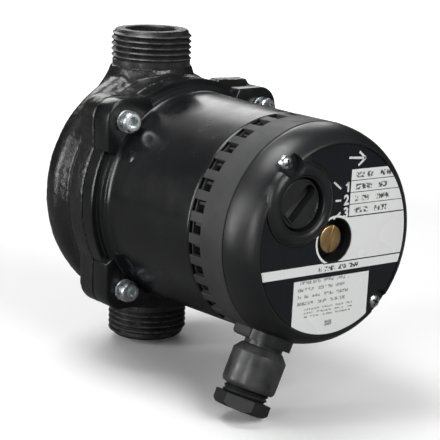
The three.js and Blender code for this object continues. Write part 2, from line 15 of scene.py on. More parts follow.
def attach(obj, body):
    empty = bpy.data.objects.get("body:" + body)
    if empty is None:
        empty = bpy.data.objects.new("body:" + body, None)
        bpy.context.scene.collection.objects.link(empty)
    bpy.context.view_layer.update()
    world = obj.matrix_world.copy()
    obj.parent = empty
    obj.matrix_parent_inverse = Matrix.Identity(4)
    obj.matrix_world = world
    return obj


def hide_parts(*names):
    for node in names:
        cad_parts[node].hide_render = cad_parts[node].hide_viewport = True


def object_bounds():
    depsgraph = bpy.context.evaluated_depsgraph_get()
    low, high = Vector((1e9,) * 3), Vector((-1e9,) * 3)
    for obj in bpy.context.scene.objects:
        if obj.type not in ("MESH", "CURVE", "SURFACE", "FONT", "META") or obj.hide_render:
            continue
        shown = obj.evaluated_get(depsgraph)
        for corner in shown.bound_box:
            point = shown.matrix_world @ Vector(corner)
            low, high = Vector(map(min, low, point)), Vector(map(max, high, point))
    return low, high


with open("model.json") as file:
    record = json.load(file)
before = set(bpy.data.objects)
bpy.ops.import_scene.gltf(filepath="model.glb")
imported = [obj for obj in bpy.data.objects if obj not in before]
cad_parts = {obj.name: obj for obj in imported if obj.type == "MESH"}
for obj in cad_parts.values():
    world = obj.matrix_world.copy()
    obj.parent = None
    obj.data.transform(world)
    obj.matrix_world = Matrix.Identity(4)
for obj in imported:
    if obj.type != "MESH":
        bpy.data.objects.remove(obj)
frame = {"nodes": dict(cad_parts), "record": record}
CAD_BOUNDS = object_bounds()

LOG = logging.getLogger("circulator")
MM = 0.001
# How steeply a printed edge ends, per metre.
PRINT_EDGE = 20000.0
Pair = tuple[float, float]
Colour = tuple[float, float, float]
Piece = bpy.types.Object
Socket = bpy.types.NodeSocket
Tree = bpy.types.NodeTree


# --- places and mesh making ------------------------------------------------------------------------


@dataclass(frozen=True)
class Axis:
    """A local frame in millimetres: an origin, the direction along and the two directions across."""

    origin: Vector
    along: Vector
    across: Vector
    up: Vector

    def at(self, radius: float, angle: float, out: float) -> Vector:
        """Gives a point at a radius, an angle and a distance along.

        Args:
            radius: distance from the axis, mm.
            angle: angle from the across direction, radians.
            out: distance along the axis, mm.

        Returns:
            The point in metres.
        """
        spoke = self.across * math.cos(angle) + self.up * math.sin(angle)
        return (self.origin + self.along * out + spoke * radius) * MM

    def flat(self, x: float, z: float, out: float) -> Vector:
        """Gives a point from two distances across and one along, in metres."""
        return (self.origin + self.along * out + self.across * x + self.up * z) * MM


def motor_axis(x: float = 0.0, z: float = 0.0) -> Axis:
    """Gives an axis along the motor, moved across by x and z."""
    return Axis(Vector((x, 0, z)), Vector((0, 1, 0)), Vector((1, 0, 0)), Vector((0, 0, 1)))


def pipe_axis() -> Axis:
    """Gives the upright axis of the two ports."""
    return Axis(Vector((0, 0, 0)), Vector((0, 0, 1)), Vector((1, 0, 0)), Vector((0, 1, 0)))


class Join(Enum):
    """How a boolean puts two solids together."""

    CUT = "DIFFERENCE"
    ADD = "UNION"
    SHARE = "INTERSECT"


class Maker:
    """Mesh moves that the sub-assemblies share; every size is in millimetres."""

    @staticmethod
    def wrap(name: str, bm: bmesh.types.BMesh) -> Piece:
        """Turns a bmesh into a linked object with outward faces.

        Args:
            name: object name.
            bm: the mesh, which is freed.

        Returns:
            The new object.
        """
        bmesh.ops.remove_doubles(bm, verts=bm.verts, dist=1e-7)
        bmesh.ops.recalc_face_normals(bm, faces=bm.faces)
        mesh = bpy.data.meshes.new(name)
        bm.to_mesh(mesh)
        bm.free()
        made = bpy.data.objects.new(name, mesh)
        bpy.context.scene.collection.objects.link(made)
        return made

    @staticmethod
    def lathe(name: str, profile: Sequence[Pair], axis: Axis, steps: int = 96) -> Piece:
        """Turns a profile of (radius, along) points about an axis.

        Args:
            name: object name.
            profile: points in order; it starts and ends on the axis, or is closed on itself.
            axis: what it turns about.
            steps: segments round.

        Returns:
            A closed solid.
        """
        bm = bmesh.new()
        rings = []
        for radius, out in profile:
            count = 1 if radius < 1e-6 else steps
            turn = 2 * math.pi / steps
            rings.append([bm.verts.new(axis.at(radius, i * turn, out)) for i in range(count)])
        on_axis = len(rings[0]) == 1 and len(rings[-1]) == 1
        pairs = list(zip(rings, rings[1:])) + ([] if on_axis else [(rings[-1], rings[0])])
        for low, high in pairs:
            if len(low) == 1 and len(high) == 1:
                continue
            for i in range(steps):
                j = (i + 1) % steps
                corners = [low[i % len(low)], low[j % len(low)], high[j % len(high)], high[i % len(high)]]
                unique = list(dict.fromkeys(corners))
                if len(unique) > 2:
                    bm.faces.new(unique)
        return Maker.wrap(name, bm)

    @staticmethod
    def prism(name: str, outline: Sequence[Pair], axis: Axis, start: float, end: float) -> Piece:
        """Pushes a flat outline along an axis.

        Args:
            name: object name.
            outline: corners across the axis.
            axis: direction of the push.
            start: first distance along.
            end: last distance along.

        Returns:
            A closed solid.
        """
        bm = bmesh.new()
        near = [bm.verts.new(axis.flat(x, z, start)) for x, z in outline]
        far = [bm.verts.new(axis.flat(x, z, end)) for x, z in outline]
        count = len(outline)
        bm.faces.new(near)
        bm.faces.new(far)
        for i in range(count):
            j = (i + 1) % count
            bm.faces.new([near[i], near[j], far[j], far[i]])
        return Maker.wrap(name, bm)

    @staticmethod
    def rod(name: str, radius: float, axis: Axis, start: float, end: float, steps: int = 64) -> Piece:
        """Makes a plain round rod, which mostly serves as a cutter."""
        return Maker.lathe(name, [(0, start), (radius, start), (radius, end), (0, end)], axis, steps)

    @staticmethod
    def bake(made: Piece) -> Piece:
        """Turns the live modifiers of an object into plain mesh and removes them.

        Args:
            made: the object with live modifiers.

        Returns:
            The same object.
        """
        graph = bpy.context.evaluated_depsgraph_get()
        graph.update()
        mesh = bpy.data.meshes.new_from_object(made.evaluated_get(graph))
        old = made.data
        made.modifiers.clear()
        made.data = mesh
        if old.users == 0:
            bpy.data.meshes.remove(old)
        return made

    @staticmethod
    def combine(made: Piece, tools: Iterable[Piece], how: Join = Join.CUT) -> Piece:
        """Cuts, adds or shares solids with an exact boolean and removes them.

        Args:
            made: the solid that stays.
            tools: the solids that are used up.
            how: what the boolean does.

        Returns:
            The solid that stays.
        """
        for tool in tools:
            step = made.modifiers.new("combine", "BOOLEAN")
            step.operation = how.value
            step.solver = "EXACT"
            step.object = tool
            Maker.bake(made)
            bpy.data.objects.remove(tool)
        return made

    @staticmethod
    def join(made: Piece, others: Iterable[Piece]) -> Piece:
        """Puts several meshes into the first without a boolean.

        Args:
            made: the mesh that grows.
            others: the meshes that are used up.

        Returns:
            The first mesh.
        """
        bm = bmesh.new()
        bm.from_mesh(made.data)
        for other in others:
            bm.from_mesh(other.data)
            bpy.data.objects.remove(other)
        bm.to_mesh(made.data)
        bm.free()
        return made

    @staticmethod
    def round_edges(made: Piece, width: float, segments: int = 2, angle: float = 32) -> Piece:
        """Rounds the sharp edges of a solid.

        Args:
            made: the solid.
            width: how far the rounding reaches from the edge, mm.
            segments: faces across the rounding.
            angle: the least angle that counts as an edge, degrees.

        Returns:
            The same solid.
        """
        step = made.modifiers.new("edges", "BEVEL")
        step.width = width * MM
        step.segments = segments
        step.limit_method = "ANGLE"
        step.angle_limit = math.radians(angle)
        step.use_clamp_overlap = True
        step.miter_outer = "MITER_ARC"
        return Maker.bake(made)

    @staticmethod
    def shade(made: Piece, angle: float = 35) -> Piece:
        """Shades a mesh smooth and keeps edges over an angle sharp.

        Args:
            made: the mesh.
            angle: the least angle that stays sharp, degrees.

        Returns:
            The same mesh.
        """
        made.data.polygons.foreach_set("use_smooth", [True] * len(made.data.polygons))
        made.data.set_sharp_from_angle(angle=math.radians(angle))
        return made

    @staticmethod
    def eased(points: Sequence[Pair], per: int = 6) -> list[Pair]:
        """Runs a smooth curve through profile points.

        Args:
            points: the points to pass through.
            per: pieces between two points.

        Returns:
            The finer list of points.
        """
        full = [points[0], *points, points[-1]]
        eased = []
        for i in range(1, len(full) - 2):
            before, here, there, after = full[i - 1 : i + 3]
            for k in range(per):
                t = k / per
                eased.append(
                    tuple(
                        0.5
                        * (
                            2 * here[a]
                            + (there[a] - before[a]) * t
                            + (2 * before[a] - 5 * here[a] + 4 * there[a] - after[a]) * t * t
                            + (3 * here[a] - before[a] - 3 * there[a] + after[a]) * t * t * t
                        )
                        for a in (0, 1)
                    )
                )
        return eased + [tuple(points[-1])]


def arc(x: float, z: float, radius: float, start: float, end: float, steps: int = 8) -> list[Pair]:
    """Gives points on an arc from one angle to another, in degrees."""
    turns = [math.radians(start + (end - start) * i / steps) for i in range(steps + 1)]
    return [(x + radius * math.cos(a), z + radius * math.sin(a)) for a in turns]


def rectangle(left: float, low: float, right: float, high: float) -> list[Pair]:
    """Gives the corners of a rectangle."""
    return [(left, low), (right, low), (right, high), (left, high)]


def ramp(value: float) -> float:
    """Keeps a value between 0 and 1."""
    return min(1.0, max(0.0, value))


def hexagon(flats: float, start: float) -> list[Pair]:
    """Gives a hexagon by its size across flats and the angle of its first corner, in degrees."""
    return arc(0, 0, flats / math.sqrt(3), start, start + 360, 6)[:-1]


def turned(points: Sequence[Pair], degrees: float, x: float = 0.0, z: float = 0.0) -> list[Pair]:
    """Turns flat points about the origin, then moves them by x and z."""
    c, s = math.cos(math.radians(degrees)), math.sin(math.radians(degrees))
    return [(x + c * u - s * v, z + s * u + c * v) for u, v in points]


# --- node trees ------------------------------------------------------------------------------------


class Wiring:
    """Short calls for adding nodes to a tree and joining them."""

    def __init__(self, tree: Tree) -> None:
        """Takes the tree that is filled."""
        self.tree = tree

    def node(self, kind: str, inputs: dict | None = None, **settings: object) -> bpy.types.Node:
        """Adds a node.

        Args:
            kind: the node's class name.
            inputs: socket name or number to a value or to another socket.
            **settings: the node's own properties.

        Returns:
            The new node.
        """
        made = self.tree.nodes.new(kind)
        for name, value in settings.items():
            setattr(made, name, value)
        for key, value in (inputs or {}).items():
            if isinstance(value, Socket):
                self.tree.links.new(value, made.inputs[key])
            else:
                made.inputs[key].default_value = value
        return made

    def math(self, how: str, a: object, b: object = 0.0, clamp: bool = False) -> Socket:
        """Adds a Math node and gives its output."""
        return self.node("ShaderNodeMath", {0: a, 1: b}, operation=how, use_clamp=clamp).outputs[0]

    def blend(self, share: object, a: object, b: object) -> Socket:
        """Mixes two colours and gives the result."""
        made = self.node("ShaderNodeMix", {0: share, 6: a, 7: b}, data_type="RGBA")
        return made.outputs[2]

    def span(self, value: object, low: float, high: float, to_low: object, to_high: object) -> Socket:
        """Maps one range onto another and gives the result."""
        made = self.node("ShaderNodeMapRange", {0: value, 1: low, 2: high, 3: to_low, 4: to_high})
        return made.outputs[0]

    def cloud(self, place: object, scale: object, detail: float, rough: float = 0.5) -> Socket:
        """Adds soft noise over a place and gives its grey value."""
        inputs = {"Vector": place, "Scale": scale, "Detail": detail, "Roughness": rough}
        return self.node("ShaderNodeTexNoise", inputs).outputs["Fac"]

    def length(self, place: object) -> Socket:
        """Gives the length of a vector."""
        return self.node("ShaderNodeVectorMath", {0: place}, operation="LENGTH").outputs["Value"]

    def reach(self, place: object, second: int) -> Socket:
        """Gives the distance from an upright or a motor axis, with X as one direction across.

        Args:
            place: the vector from a point on the axis.
            second: the other direction across the axis: 1 for Y, 2 for Z.

        Returns:
            The distance, metres.
        """
        split = self.node("ShaderNodeSeparateXYZ", {0: place})
        flat = self.node("ShaderNodeCombineXYZ", {0: split.outputs[0], 1: split.outputs[second]})
        return self.length(flat.outputs[0])


class Effect(Enum):
    """The shader groups that several finishes share."""

    GRAIN = "SurfaceGrain"
    MOTTLE = "SurfaceMottle"
    SCUFF = "SurfaceScuff"
    PANEL = "PrintedPanel"
    ROWS = "PrintedRows"


class Effects:
    """Builds each shared shader group once."""

    made: dict[Effect, Tree] = {}

    @classmethod
    def get(cls, effect: Effect) -> Tree:
        """Gives a group, building it the first time."""
        if effect not in cls.made:
            builders = {
                Effect.GRAIN: cls.grain,
                Effect.MOTTLE: cls.mottle,
                Effect.SCUFF: cls.scuff,
                Effect.PANEL: cls.panel,
                Effect.ROWS: cls.rows,
            }
            cls.made[effect] = builders[effect](effect.value)
        return cls.made[effect]

    @staticmethod
    def shell(name: str, inputs: Sequence[str], output: str) -> tuple[Wiring, bpy.types.Node, bpy.types.Node]:
        """Makes a group with a Position input, number inputs and one number output.

        Args:
            name: the group's name.
            inputs: names of the number inputs.
            output: name of the number output.

        Returns:
            The wiring, the input node and the output node.
        """
        tree = bpy.data.node_groups.new(name, "ShaderNodeTree")
        tree.interface.new_socket("Position", in_out="INPUT", socket_type="NodeSocketVector")
        for entry in inputs:
            tree.interface.new_socket(entry, in_out="INPUT", socket_type="NodeSocketFloat")
        tree.interface.new_socket(output, in_out="OUTPUT", socket_type="NodeSocketFloat")
        wires = Wiring(tree)
        return wires, wires.node("NodeGroupInput"), wires.node("NodeGroupOutput")

    @staticmethod
    def grain(name: str) -> Tree:
        """Two sizes of bumps that add up to a height.

        Args:
            name: the group's name.

        Returns:
            The group.
        """
        wires, start, end = Effects.shell(name, ["Scale", "Coarse Share"], "Height")
        wide = wires.math("MULTIPLY", start.outputs["Scale"], 0.28)
        fine = wires.cloud(start.outputs["Position"], start.outputs["Scale"], 3.0, 0.6)
        coarse = wires.cloud(start.outputs["Position"], wide, 2.0)
        lifted = wires.math("MULTIPLY", coarse, start.outputs["Coarse Share"])
        rest = wires.math("SUBTRACT", 1.0, start.outputs["Coarse Share"])
        small = wires.math("MULTIPLY", fine, rest)
        wires.tree.links.new(wires.math("ADD", lifted, small), end.inputs["Height"])
        return wires.tree

    @staticmethod
    def mottle(name: str) -> Tree:
        """A slow change between two values over the surface.

        Args:
            name: the group's name.

        Returns:
            The group.
        """
        wires, start, end = Effects.shell(name, ["Scale", "Low", "High"], "Value")
        grey = wires.cloud(start.outputs["Position"], start.outputs["Scale"], 4.0)
        value = wires.span(grey, 0.32, 0.68, start.outputs["Low"], start.outputs["High"])
        wires.tree.links.new(value, end.inputs["Value"])
        return wires.tree

    @staticmethod
    def scuff(name: str) -> Tree:
        """Sparse small marks, more of them as Amount grows.

        Args:
            name: the group's name.

        Returns:
            The group.
        """
        wires, start, end = Effects.shell(name, ["Scale", "Amount"], "Mask")
        stretched = wires.node(
            "ShaderNodeMapping", {"Vector": start.outputs["Position"], "Scale": (1.0, 0.35, 1.0)}
        )
        grey = wires.cloud(stretched.outputs[0], start.outputs["Scale"], 6.0, 0.72)
        gate = wires.math("SUBTRACT", 0.86, wires.math("MULTIPLY", start.outputs["Amount"], 0.3))
        over = wires.math("SUBTRACT", grey, gate)
        mask = wires.math("MULTIPLY", over, 9.0, clamp=True)
        wires.tree.links.new(mask, end.inputs["Mask"])
        return wires.tree

    @staticmethod
    def panel(name: str) -> Tree:
        """One printed rectangle in the face plane, with its centre and half sizes in metres.

        Args:
            name: the group's name.

        Returns:
            The group.
        """
        wires, start, end = Effects.shell(name, ["X", "Z", "Half Width", "Half Height"], "Mask")
        split = wires.node("ShaderNodeSeparateXYZ", {0: start.outputs["Position"]})
        masks = []
        for place, middle, half in (("X", "X", "Half Width"), ("Z", "Z", "Half Height")):
            offset = wires.math("SUBTRACT", split.outputs[place], start.outputs[middle])
            inside = wires.math("SUBTRACT", start.outputs[half], wires.math("ABSOLUTE", offset))
            masks.append(wires.math("MULTIPLY", inside, PRINT_EDGE, clamp=True))
        wires.tree.links.new(wires.math("MULTIPLY", masks[0], masks[1]), end.inputs["Mask"])
        return wires.tree

    @staticmethod
    def rows(name: str) -> Tree:
        """Broken rows that read as small print from a distance and spell nothing.

        Args:
            name: the group's name.

        Returns:
            The group.
        """
        wires, start, end = Effects.shell(name, ["Row Pitch", "Row Start", "Mark Scale", "Fill"], "Mask")
        split = wires.node("ShaderNodeSeparateXYZ", {0: start.outputs["Position"]})
        down = wires.math("SUBTRACT", start.outputs["Row Start"], split.outputs["Z"])
        row = wires.math("DIVIDE", down, start.outputs["Row Pitch"])
        number = wires.math("FLOOR", row)
        part = wires.math("ABSOLUTE", wires.math("SUBTRACT", wires.math("FRACT", row), 0.5))
        in_row = wires.math("MULTIPLY", wires.math("SUBTRACT", 0.27, part), 14.0, clamp=True)
        across = split.outputs["X"]
        strokes = wires.node("ShaderNodeCombineXYZ", {0: across, 1: number, 2: split.outputs["Z"]})
        marks = wires.cloud(strokes.outputs[0], start.outputs["Mark Scale"], 2.0)
        over = wires.math("SUBTRACT", marks, wires.math("SUBTRACT", 1.0, start.outputs["Fill"]))
        broken = wires.math("MULTIPLY", over, 12.0, clamp=True)
        words = wires.node("ShaderNodeCombineXYZ", {0: across, 1: number, 2: number})
        runs = wires.cloud(words.outputs[0], 330.0, 0.0)
        gaps = wires.math("MULTIPLY", wires.math("SUBTRACT", runs, 0.4), 18.0, clamp=True)
        inked = wires.math("MULTIPLY", broken, gaps)
        wires.tree.links.new(wires.math("MULTIPLY", in_row, inked), end.inputs["Mask"])
        return wires.tree


# --- finishes --------------------------------------------------------------------------------------


def rgba(colour: Colour) -> tuple[float, float, float, float]:
    """Adds full opacity to a colour."""
    return (*colour, 1.0)


@dataclass(frozen=True)
class Finish:
    """A procedural surface: two colours, a range of roughness, grain, and marks of handling."""

    name: str
    colour: Colour
    second: Colour
    rough: Pair
    metallic: float = 0.0
    grain_mm: float = 0.6
    grain_depth_mm: float = 0.02
    coarse_share: float = 0.3
    mottle_scale: float = 60.0
    scuff: float = 0.15
    scuff_colour: Colour = (0.2, 0.2, 0.2)
    specular: float = 0.5

    def effect(self, wires: Wiring, effect: Effect, place: object, **values: object) -> Socket:
        """Places a shared group with its own values and gives its output.

        Args:
            wires: the tree that is being filled.
            effect: which shared group.
            place: where on the object, metres.
            **values: the group's number inputs, with a low line for a space.

        Returns:
            The group's output.
        """
        group = wires.node("ShaderNodeGroup", node_tree=Effects.get(effect))
        wires.tree.links.new(place, group.inputs["Position"])
        for key, value in values.items():
            group.inputs[key.replace("_", " ")].default_value = value
        return group.outputs[0]

    def colours(self, wires: Wiring, place: Socket) -> Socket:
        """Gives the base colour, which changes slowly over the surface.

        Args:
            wires: the tree that is being filled.
            place: where on the object, metres.

        Returns:
            The colour.
        """
        share = self.effect(wires, Effect.MOTTLE, place, Scale=self.mottle_scale, Low=0.0, High=1.0)
        body = wires.blend(share, rgba(self.colour), rgba(self.second))
        marks = self.effect(wires, Effect.SCUFF, place, Scale=self.mottle_scale * 6, Amount=self.scuff)
        return wires.blend(marks, body, rgba(self.scuff_colour))

    def height(self, wires: Wiring, place: Socket) -> Socket:
        """Gives the height of the surface's grain."""
        scale = 1000.0 / self.grain_mm
        return self.effect(wires, Effect.GRAIN, place, Scale=scale, Coarse_Share=self.coarse_share)

    def roughness(self, wires: Wiring, place: Socket) -> Socket:
        """Gives the roughness, which changes slowly over the surface."""
        low, high = self.rough
        return self.effect(wires, Effect.MOTTLE, place, Scale=self.mottle_scale * 2.3, Low=low, High=high)

    def material(self) -> bpy.types.Material:
        """Builds the material, or gives it again if it is already there.

        Returns:
            The material.
        """
        ready = bpy.data.materials.get(self.name)
        if ready:
            return ready
        made = bpy.data.materials.new(self.name)
        made.use_nodes = True
        made.node_tree.nodes.clear()
        wires = Wiring(made.node_tree)
        place = wires.node("ShaderNodeTexCoord").outputs["Object"]
        bump = wires.node(
            "ShaderNodeBump",
            {"Height": self.height(wires, place), "Distance": self.grain_depth_mm * MM, "Strength": 1.0},
        )
        shader = wires.node(
            "ShaderNodeBsdfPrincipled",
            {
                "Base Color": self.colours(wires, place),
                "Roughness": self.roughness(wires, place),
                "Normal": bump.outputs[0],
                "Metallic": self.metallic,
                "Specular IOR Level": self.specular,
            },
        )
        wires.node("ShaderNodeOutputMaterial", {"Surface": shader.outputs[0]})
        return made


@dataclass(frozen=True)
class PortPaint(Finish):
    """Casing paint on a thread, rubbed through to iron along the crests."""

    crest_mm: float = 16.4

    def colours(self, wires: Wiring, place: Socket) -> Socket:
        """Gives paint in the roots and bare iron on the crests.

        Args:
            wires: the tree that is being filled.
            place: where on the object, metres.

        Returns:
            The colour.
        """
        body = Finish.colours(self, wires, place)
        low, high = (self.crest_mm - 0.35) * MM, (self.crest_mm + 0.1) * MM
        crest = wires.span(wires.reach(place, 1), low, high, 0.0, 1.0)
        patches = self.effect(wires, Effect.MOTTLE, place, Scale=260.0, Low=0.15, High=1.0)
        worn = wires.math("MULTIPLY", crest, patches)
        return wires.blend(worn, body, rgba(self.scuff_colour))


@dataclass(frozen=True)
class Turned(Finish):
    """Metal with fine tool rings round the motor axis."""

    ring_mm: float = 0.25

    def height(self, wires: Wiring, place: Socket) -> Socket:
        """Gives rings by distance from the axis, with some grain.

        Args:
            wires: the tree that is being filled.
            place: where on the object, metres.

        Returns:
            The height, before the bump's own depth.
        """
        turns = wires.math("MULTIPLY", wires.reach(place, 2), 2 * math.pi / (self.ring_mm * MM))
        rings = wires.math("MULTIPLY", wires.math("SINE", turns), 0.35)
        return wires.math("ADD", rings, Finish.height(self, wires, place))


@dataclass(frozen=True)
class Stacked(Finish):
    """Thin sheets stacked along the motor axis, or wire wound in layers."""

    sheet_mm: float = 0.5

    def height(self, wires: Wiring, place: Socket) -> Socket:
        """Gives the grooves between sheets.

        Args:
            wires: the tree that is being filled.
            place: where on the object, metres.

        Returns:
            The height, before the bump's own depth.
        """
        split = wires.node("ShaderNodeSeparateXYZ", {0: place})
        turns = wires.math("MULTIPLY", split.outputs[1], 2 * math.pi / (self.sheet_mm * MM))
        return wires.math("ADD", wires.math("SINE", turns), Finish.height(self, wires, place))


@dataclass(frozen=True)
class Panel:
    """One printed rectangle: centre and full size in the label's own turned plane, mm."""

    x: float
    z: float
    width: float
    height: float


@dataclass(frozen=True)
class PrintRows:
    """A block of small print that spells nothing: where it is, its row pitch, mark size and darkness."""

    area: Panel
    pitch_mm: float
    mark_mm: float = 0.8
    dark: float = 0.9
    fill: float = 0.56


@dataclass(frozen=True)
class PrintedFoil(Finish):
    """Black foil with white panels and thin dividing lines, printed slightly turned."""

    white: Colour = (0.88, 0.89, 0.88)
    ink: Colour = (0.012, 0.012, 0.014)
    turn_deg: float = 1.8
    panels: tuple[Panel, ...] = ()
    lines: tuple[Panel, ...] = ()
    small_print: tuple[PrintRows, ...] = ()
    ring_mm: float = 9.35

    def mask(self, wires: Wiring, place: Socket, shapes: Sequence[Panel]) -> Socket:
        """Gives the union of several printed rectangles.

        Args:
            wires: the tree that is being filled.
            place: where on the object, metres.
            shapes: the rectangles.

        Returns:
            1 inside any rectangle and 0 outside.
        """
        total = None
        for shape in shapes:
            one = self.effect(
                wires,
                Effect.PANEL,
                place,
                X=shape.x * MM,
                Z=shape.z * MM,
                Half_Width=shape.width / 2 * MM,
                Half_Height=shape.height / 2 * MM,
            )
            total = one if total is None else wires.math("MAXIMUM", total, one)
        return total

    def disc(self, wires: Wiring, place: Socket, radius: float) -> Socket:
        """Gives the mask of a disc about the vent screw."""
        inside = wires.math("SUBTRACT", radius * MM, wires.reach(place, 2))
        return wires.math("MULTIPLY", inside, PRINT_EDGE, clamp=True)

    def printed(self, wires: Wiring, place: Socket) -> tuple[Socket, Socket]:
        """Gives the masks of the white ground and of the dark ink on it.

        Args:
            wires: the tree that is being filled.
            place: where on the object, metres.

        Returns:
            The mask of the ground and the mask of the ink.
        """
        tilted = wires.node(
            "ShaderNodeMapping", {"Vector": place, "Rotation": (0.0, -math.radians(self.turn_deg), 0.0)}
        ).outputs[0]
        white = self.mask(wires, tilted, self.panels)
        ground = wires.math("MAXIMUM", white, self.disc(wires, place, self.ring_mm))
        ink = self.mask(wires, tilted, self.lines)
        for block in self.small_print:
            words = self.effect(
                wires,
                Effect.ROWS,
                tilted,
                Row_Pitch=block.pitch_mm * MM,
                Row_Start=(block.area.z + block.area.height / 2) * MM,
                Mark_Scale=1000.0 / block.mark_mm,
                Fill=block.fill,
            )
            inside = wires.math("MULTIPLY", words, self.mask(wires, tilted, [block.area]))
            ink = wires.math("MAXIMUM", ink, wires.math("MULTIPLY", inside, block.dark))
        return ground, ink

    def colours(self, wires: Wiring, place: Socket) -> Socket:
        """Gives the foil's colours with its print.

        Args:
            wires: the tree that is being filled.
            place: where on the object, metres.

        Returns:
            The colour.
        """
        ground, ink = self.printed(wires, place)
        foil = Finish.colours(self, wires, place)
        shade = self.effect(wires, Effect.MOTTLE, place, Scale=45.0, Low=0.0, High=0.12)
        paper = wires.blend(shade, rgba(self.white), (0.7, 0.71, 0.7, 1.0))
        return wires.blend(ink, wires.blend(ground, foil, paper), rgba(self.ink))


# The casting's pale scuff specks are partly wear and partly painted glints of the sand-cast grain.
CAST_SKIN = Finish(
    "cast_iron_black_paint", (0.008, 0.0078, 0.0076), (0.015, 0.0142, 0.0136), (0.2, 0.3),
    grain_mm=0.6, grain_depth_mm=0.13, coarse_share=0.3, mottle_scale=70, scuff=0.5,
    scuff_colour=(0.16, 0.155, 0.15), specular=0.6,
)
PORT_PAINT = PortPaint(
    "thread_paint_worn", (0.016, 0.016, 0.016), (0.04, 0.04, 0.04), (0.22, 0.4),
    metallic=0.35, grain_mm=0.5, grain_depth_mm=0.04, mottle_scale=160, scuff_colour=(0.2, 0.2, 0.2),
)
MOTOR_PAINT = Finish(
    "motor_semi_gloss_black", (0.0045, 0.0049, 0.0056), (0.0075, 0.008, 0.0088), (0.2, 0.29),
    grain_mm=1.4, grain_depth_mm=0.008, coarse_share=0.6, mottle_scale=45, scuff=0.1,
    scuff_colour=(0.05, 0.05, 0.05),
)
BASE_PLASTIC = Finish(
    "terminal_base_charcoal", (0.034, 0.0345, 0.035), (0.052, 0.0525, 0.053), (0.5, 0.65),
    grain_mm=0.35, grain_depth_mm=0.015, mottle_scale=70, scuff=0.2,
    scuff_colour=(0.08, 0.08, 0.08), specular=0.4,
)
COVER_PLASTIC = Finish(
    "terminal_cover_grained_black", (0.008, 0.0085, 0.0095), (0.014, 0.0145, 0.0155), (0.28, 0.4),
    grain_mm=0.42, grain_depth_mm=0.045, coarse_share=0.2, mottle_scale=55, scuff=0.12,
    scuff_colour=(0.07, 0.07, 0.075),
)
KNOB_PLASTIC = Finish(
    "selector_knob_black", (0.012, 0.0125, 0.013), (0.02, 0.0205, 0.021), (0.26, 0.38),
    grain_mm=0.3, grain_depth_mm=0.012, mottle_scale=140, scuff=0.3, scuff_colour=(0.16, 0.16, 0.165),
)
GLAND_SHELL = Finish(
    "gland_shell_dusty", (0.024, 0.0245, 0.025), (0.06, 0.061, 0.062), (0.26, 0.42),
    grain_mm=0.4, grain_depth_mm=0.02, mottle_scale=150, scuff=0.35, scuff_colour=(0.14, 0.14, 0.14),
)
GLAND_PLASTIC = Finish(
    "gland_polyamide_black", (0.012, 0.0125, 0.013), (0.022, 0.0225, 0.023), (0.33, 0.45),
    grain_mm=0.4, grain_depth_mm=0.014, mottle_scale=90, scuff=0.2, scuff_colour=(0.07, 0.07, 0.07),
)
ZINC = Finish(
    "bright_zinc_plate", (0.56, 0.6, 0.62), (0.8, 0.83, 0.84), (0.18, 0.4),
    metallic=1.0, grain_mm=0.5, grain_depth_mm=0.02, mottle_scale=420, scuff=0.5,
    scuff_colour=(0.3, 0.32, 0.33),
)
BRASS = Turned(
    "turned_brass", (0.62, 0.42, 0.2), (0.78, 0.57, 0.3), (0.3, 0.42),
    metallic=1.0, ring_mm=0.6, grain_mm=0.5, grain_depth_mm=0.012, mottle_scale=260, scuff=0.3,
    scuff_colour=(0.4, 0.25, 0.12),
)
STAINLESS = Turned(
    "drawn_stainless", (0.5, 0.51, 0.52), (0.6, 0.61, 0.62), (0.25, 0.38),
    metallic=1.0, grain_mm=0.6, grain_depth_mm=0.008, mottle_scale=90, ring_mm=0.6,
)
LAMINATION = Stacked(
    "stacked_lamination", (0.2, 0.21, 0.225), (0.28, 0.29, 0.3), (0.4, 0.55),
    metallic=0.85, grain_depth_mm=0.06, mottle_scale=80,
)
COPPER = Stacked(
    "enamelled_copper", (0.36, 0.12, 0.045), (0.48, 0.18, 0.07), (0.3, 0.45),
    metallic=0.7, grain_depth_mm=0.12, mottle_scale=160, sheet_mm=0.9,
)
CERAMIC = Finish(
    "polished_ceramic", (0.78, 0.75, 0.68), (0.84, 0.82, 0.76), (0.14, 0.22),
    grain_depth_mm=0.004, mottle_scale=200, scuff_colour=(0.5, 0.48, 0.42),
)
CARBON = Finish(
    "bearing_carbon", (0.02, 0.02, 0.022), (0.035, 0.035, 0.037), (0.4, 0.55), metallic=0.1,
    grain_mm=0.3, grain_depth_mm=0.01, mottle_scale=300,
)
RUBBER = Finish(
    "seal_rubber", (0.012, 0.012, 0.012), (0.02, 0.02, 0.02), (0.65, 0.8),
    grain_mm=0.4, grain_depth_mm=0.02, mottle_scale=150, specular=0.3,
)
COMPOSITE = Finish(
    "glass_filled_natural", (0.55, 0.52, 0.42), (0.62, 0.6, 0.5), (0.42, 0.55),
    grain_mm=0.5, grain_depth_mm=0.02, mottle_scale=120, scuff_colour=(0.4, 0.37, 0.28),
)
CASE_WHITE = Finish(
    "capacitor_white", (0.68, 0.68, 0.66), (0.74, 0.74, 0.72), (0.35, 0.45),
    grain_depth_mm=0.01, mottle_scale=90, scuff_colour=(0.5, 0.5, 0.48),
)
WHITE_INK = Finish(
    "white_print", (0.74, 0.75, 0.76), (0.8, 0.81, 0.82), (0.4, 0.5),
    grain_mm=0.2, grain_depth_mm=0.004, mottle_scale=400, scuff=0.05, scuff_colour=(0.5, 0.5, 0.5),
)
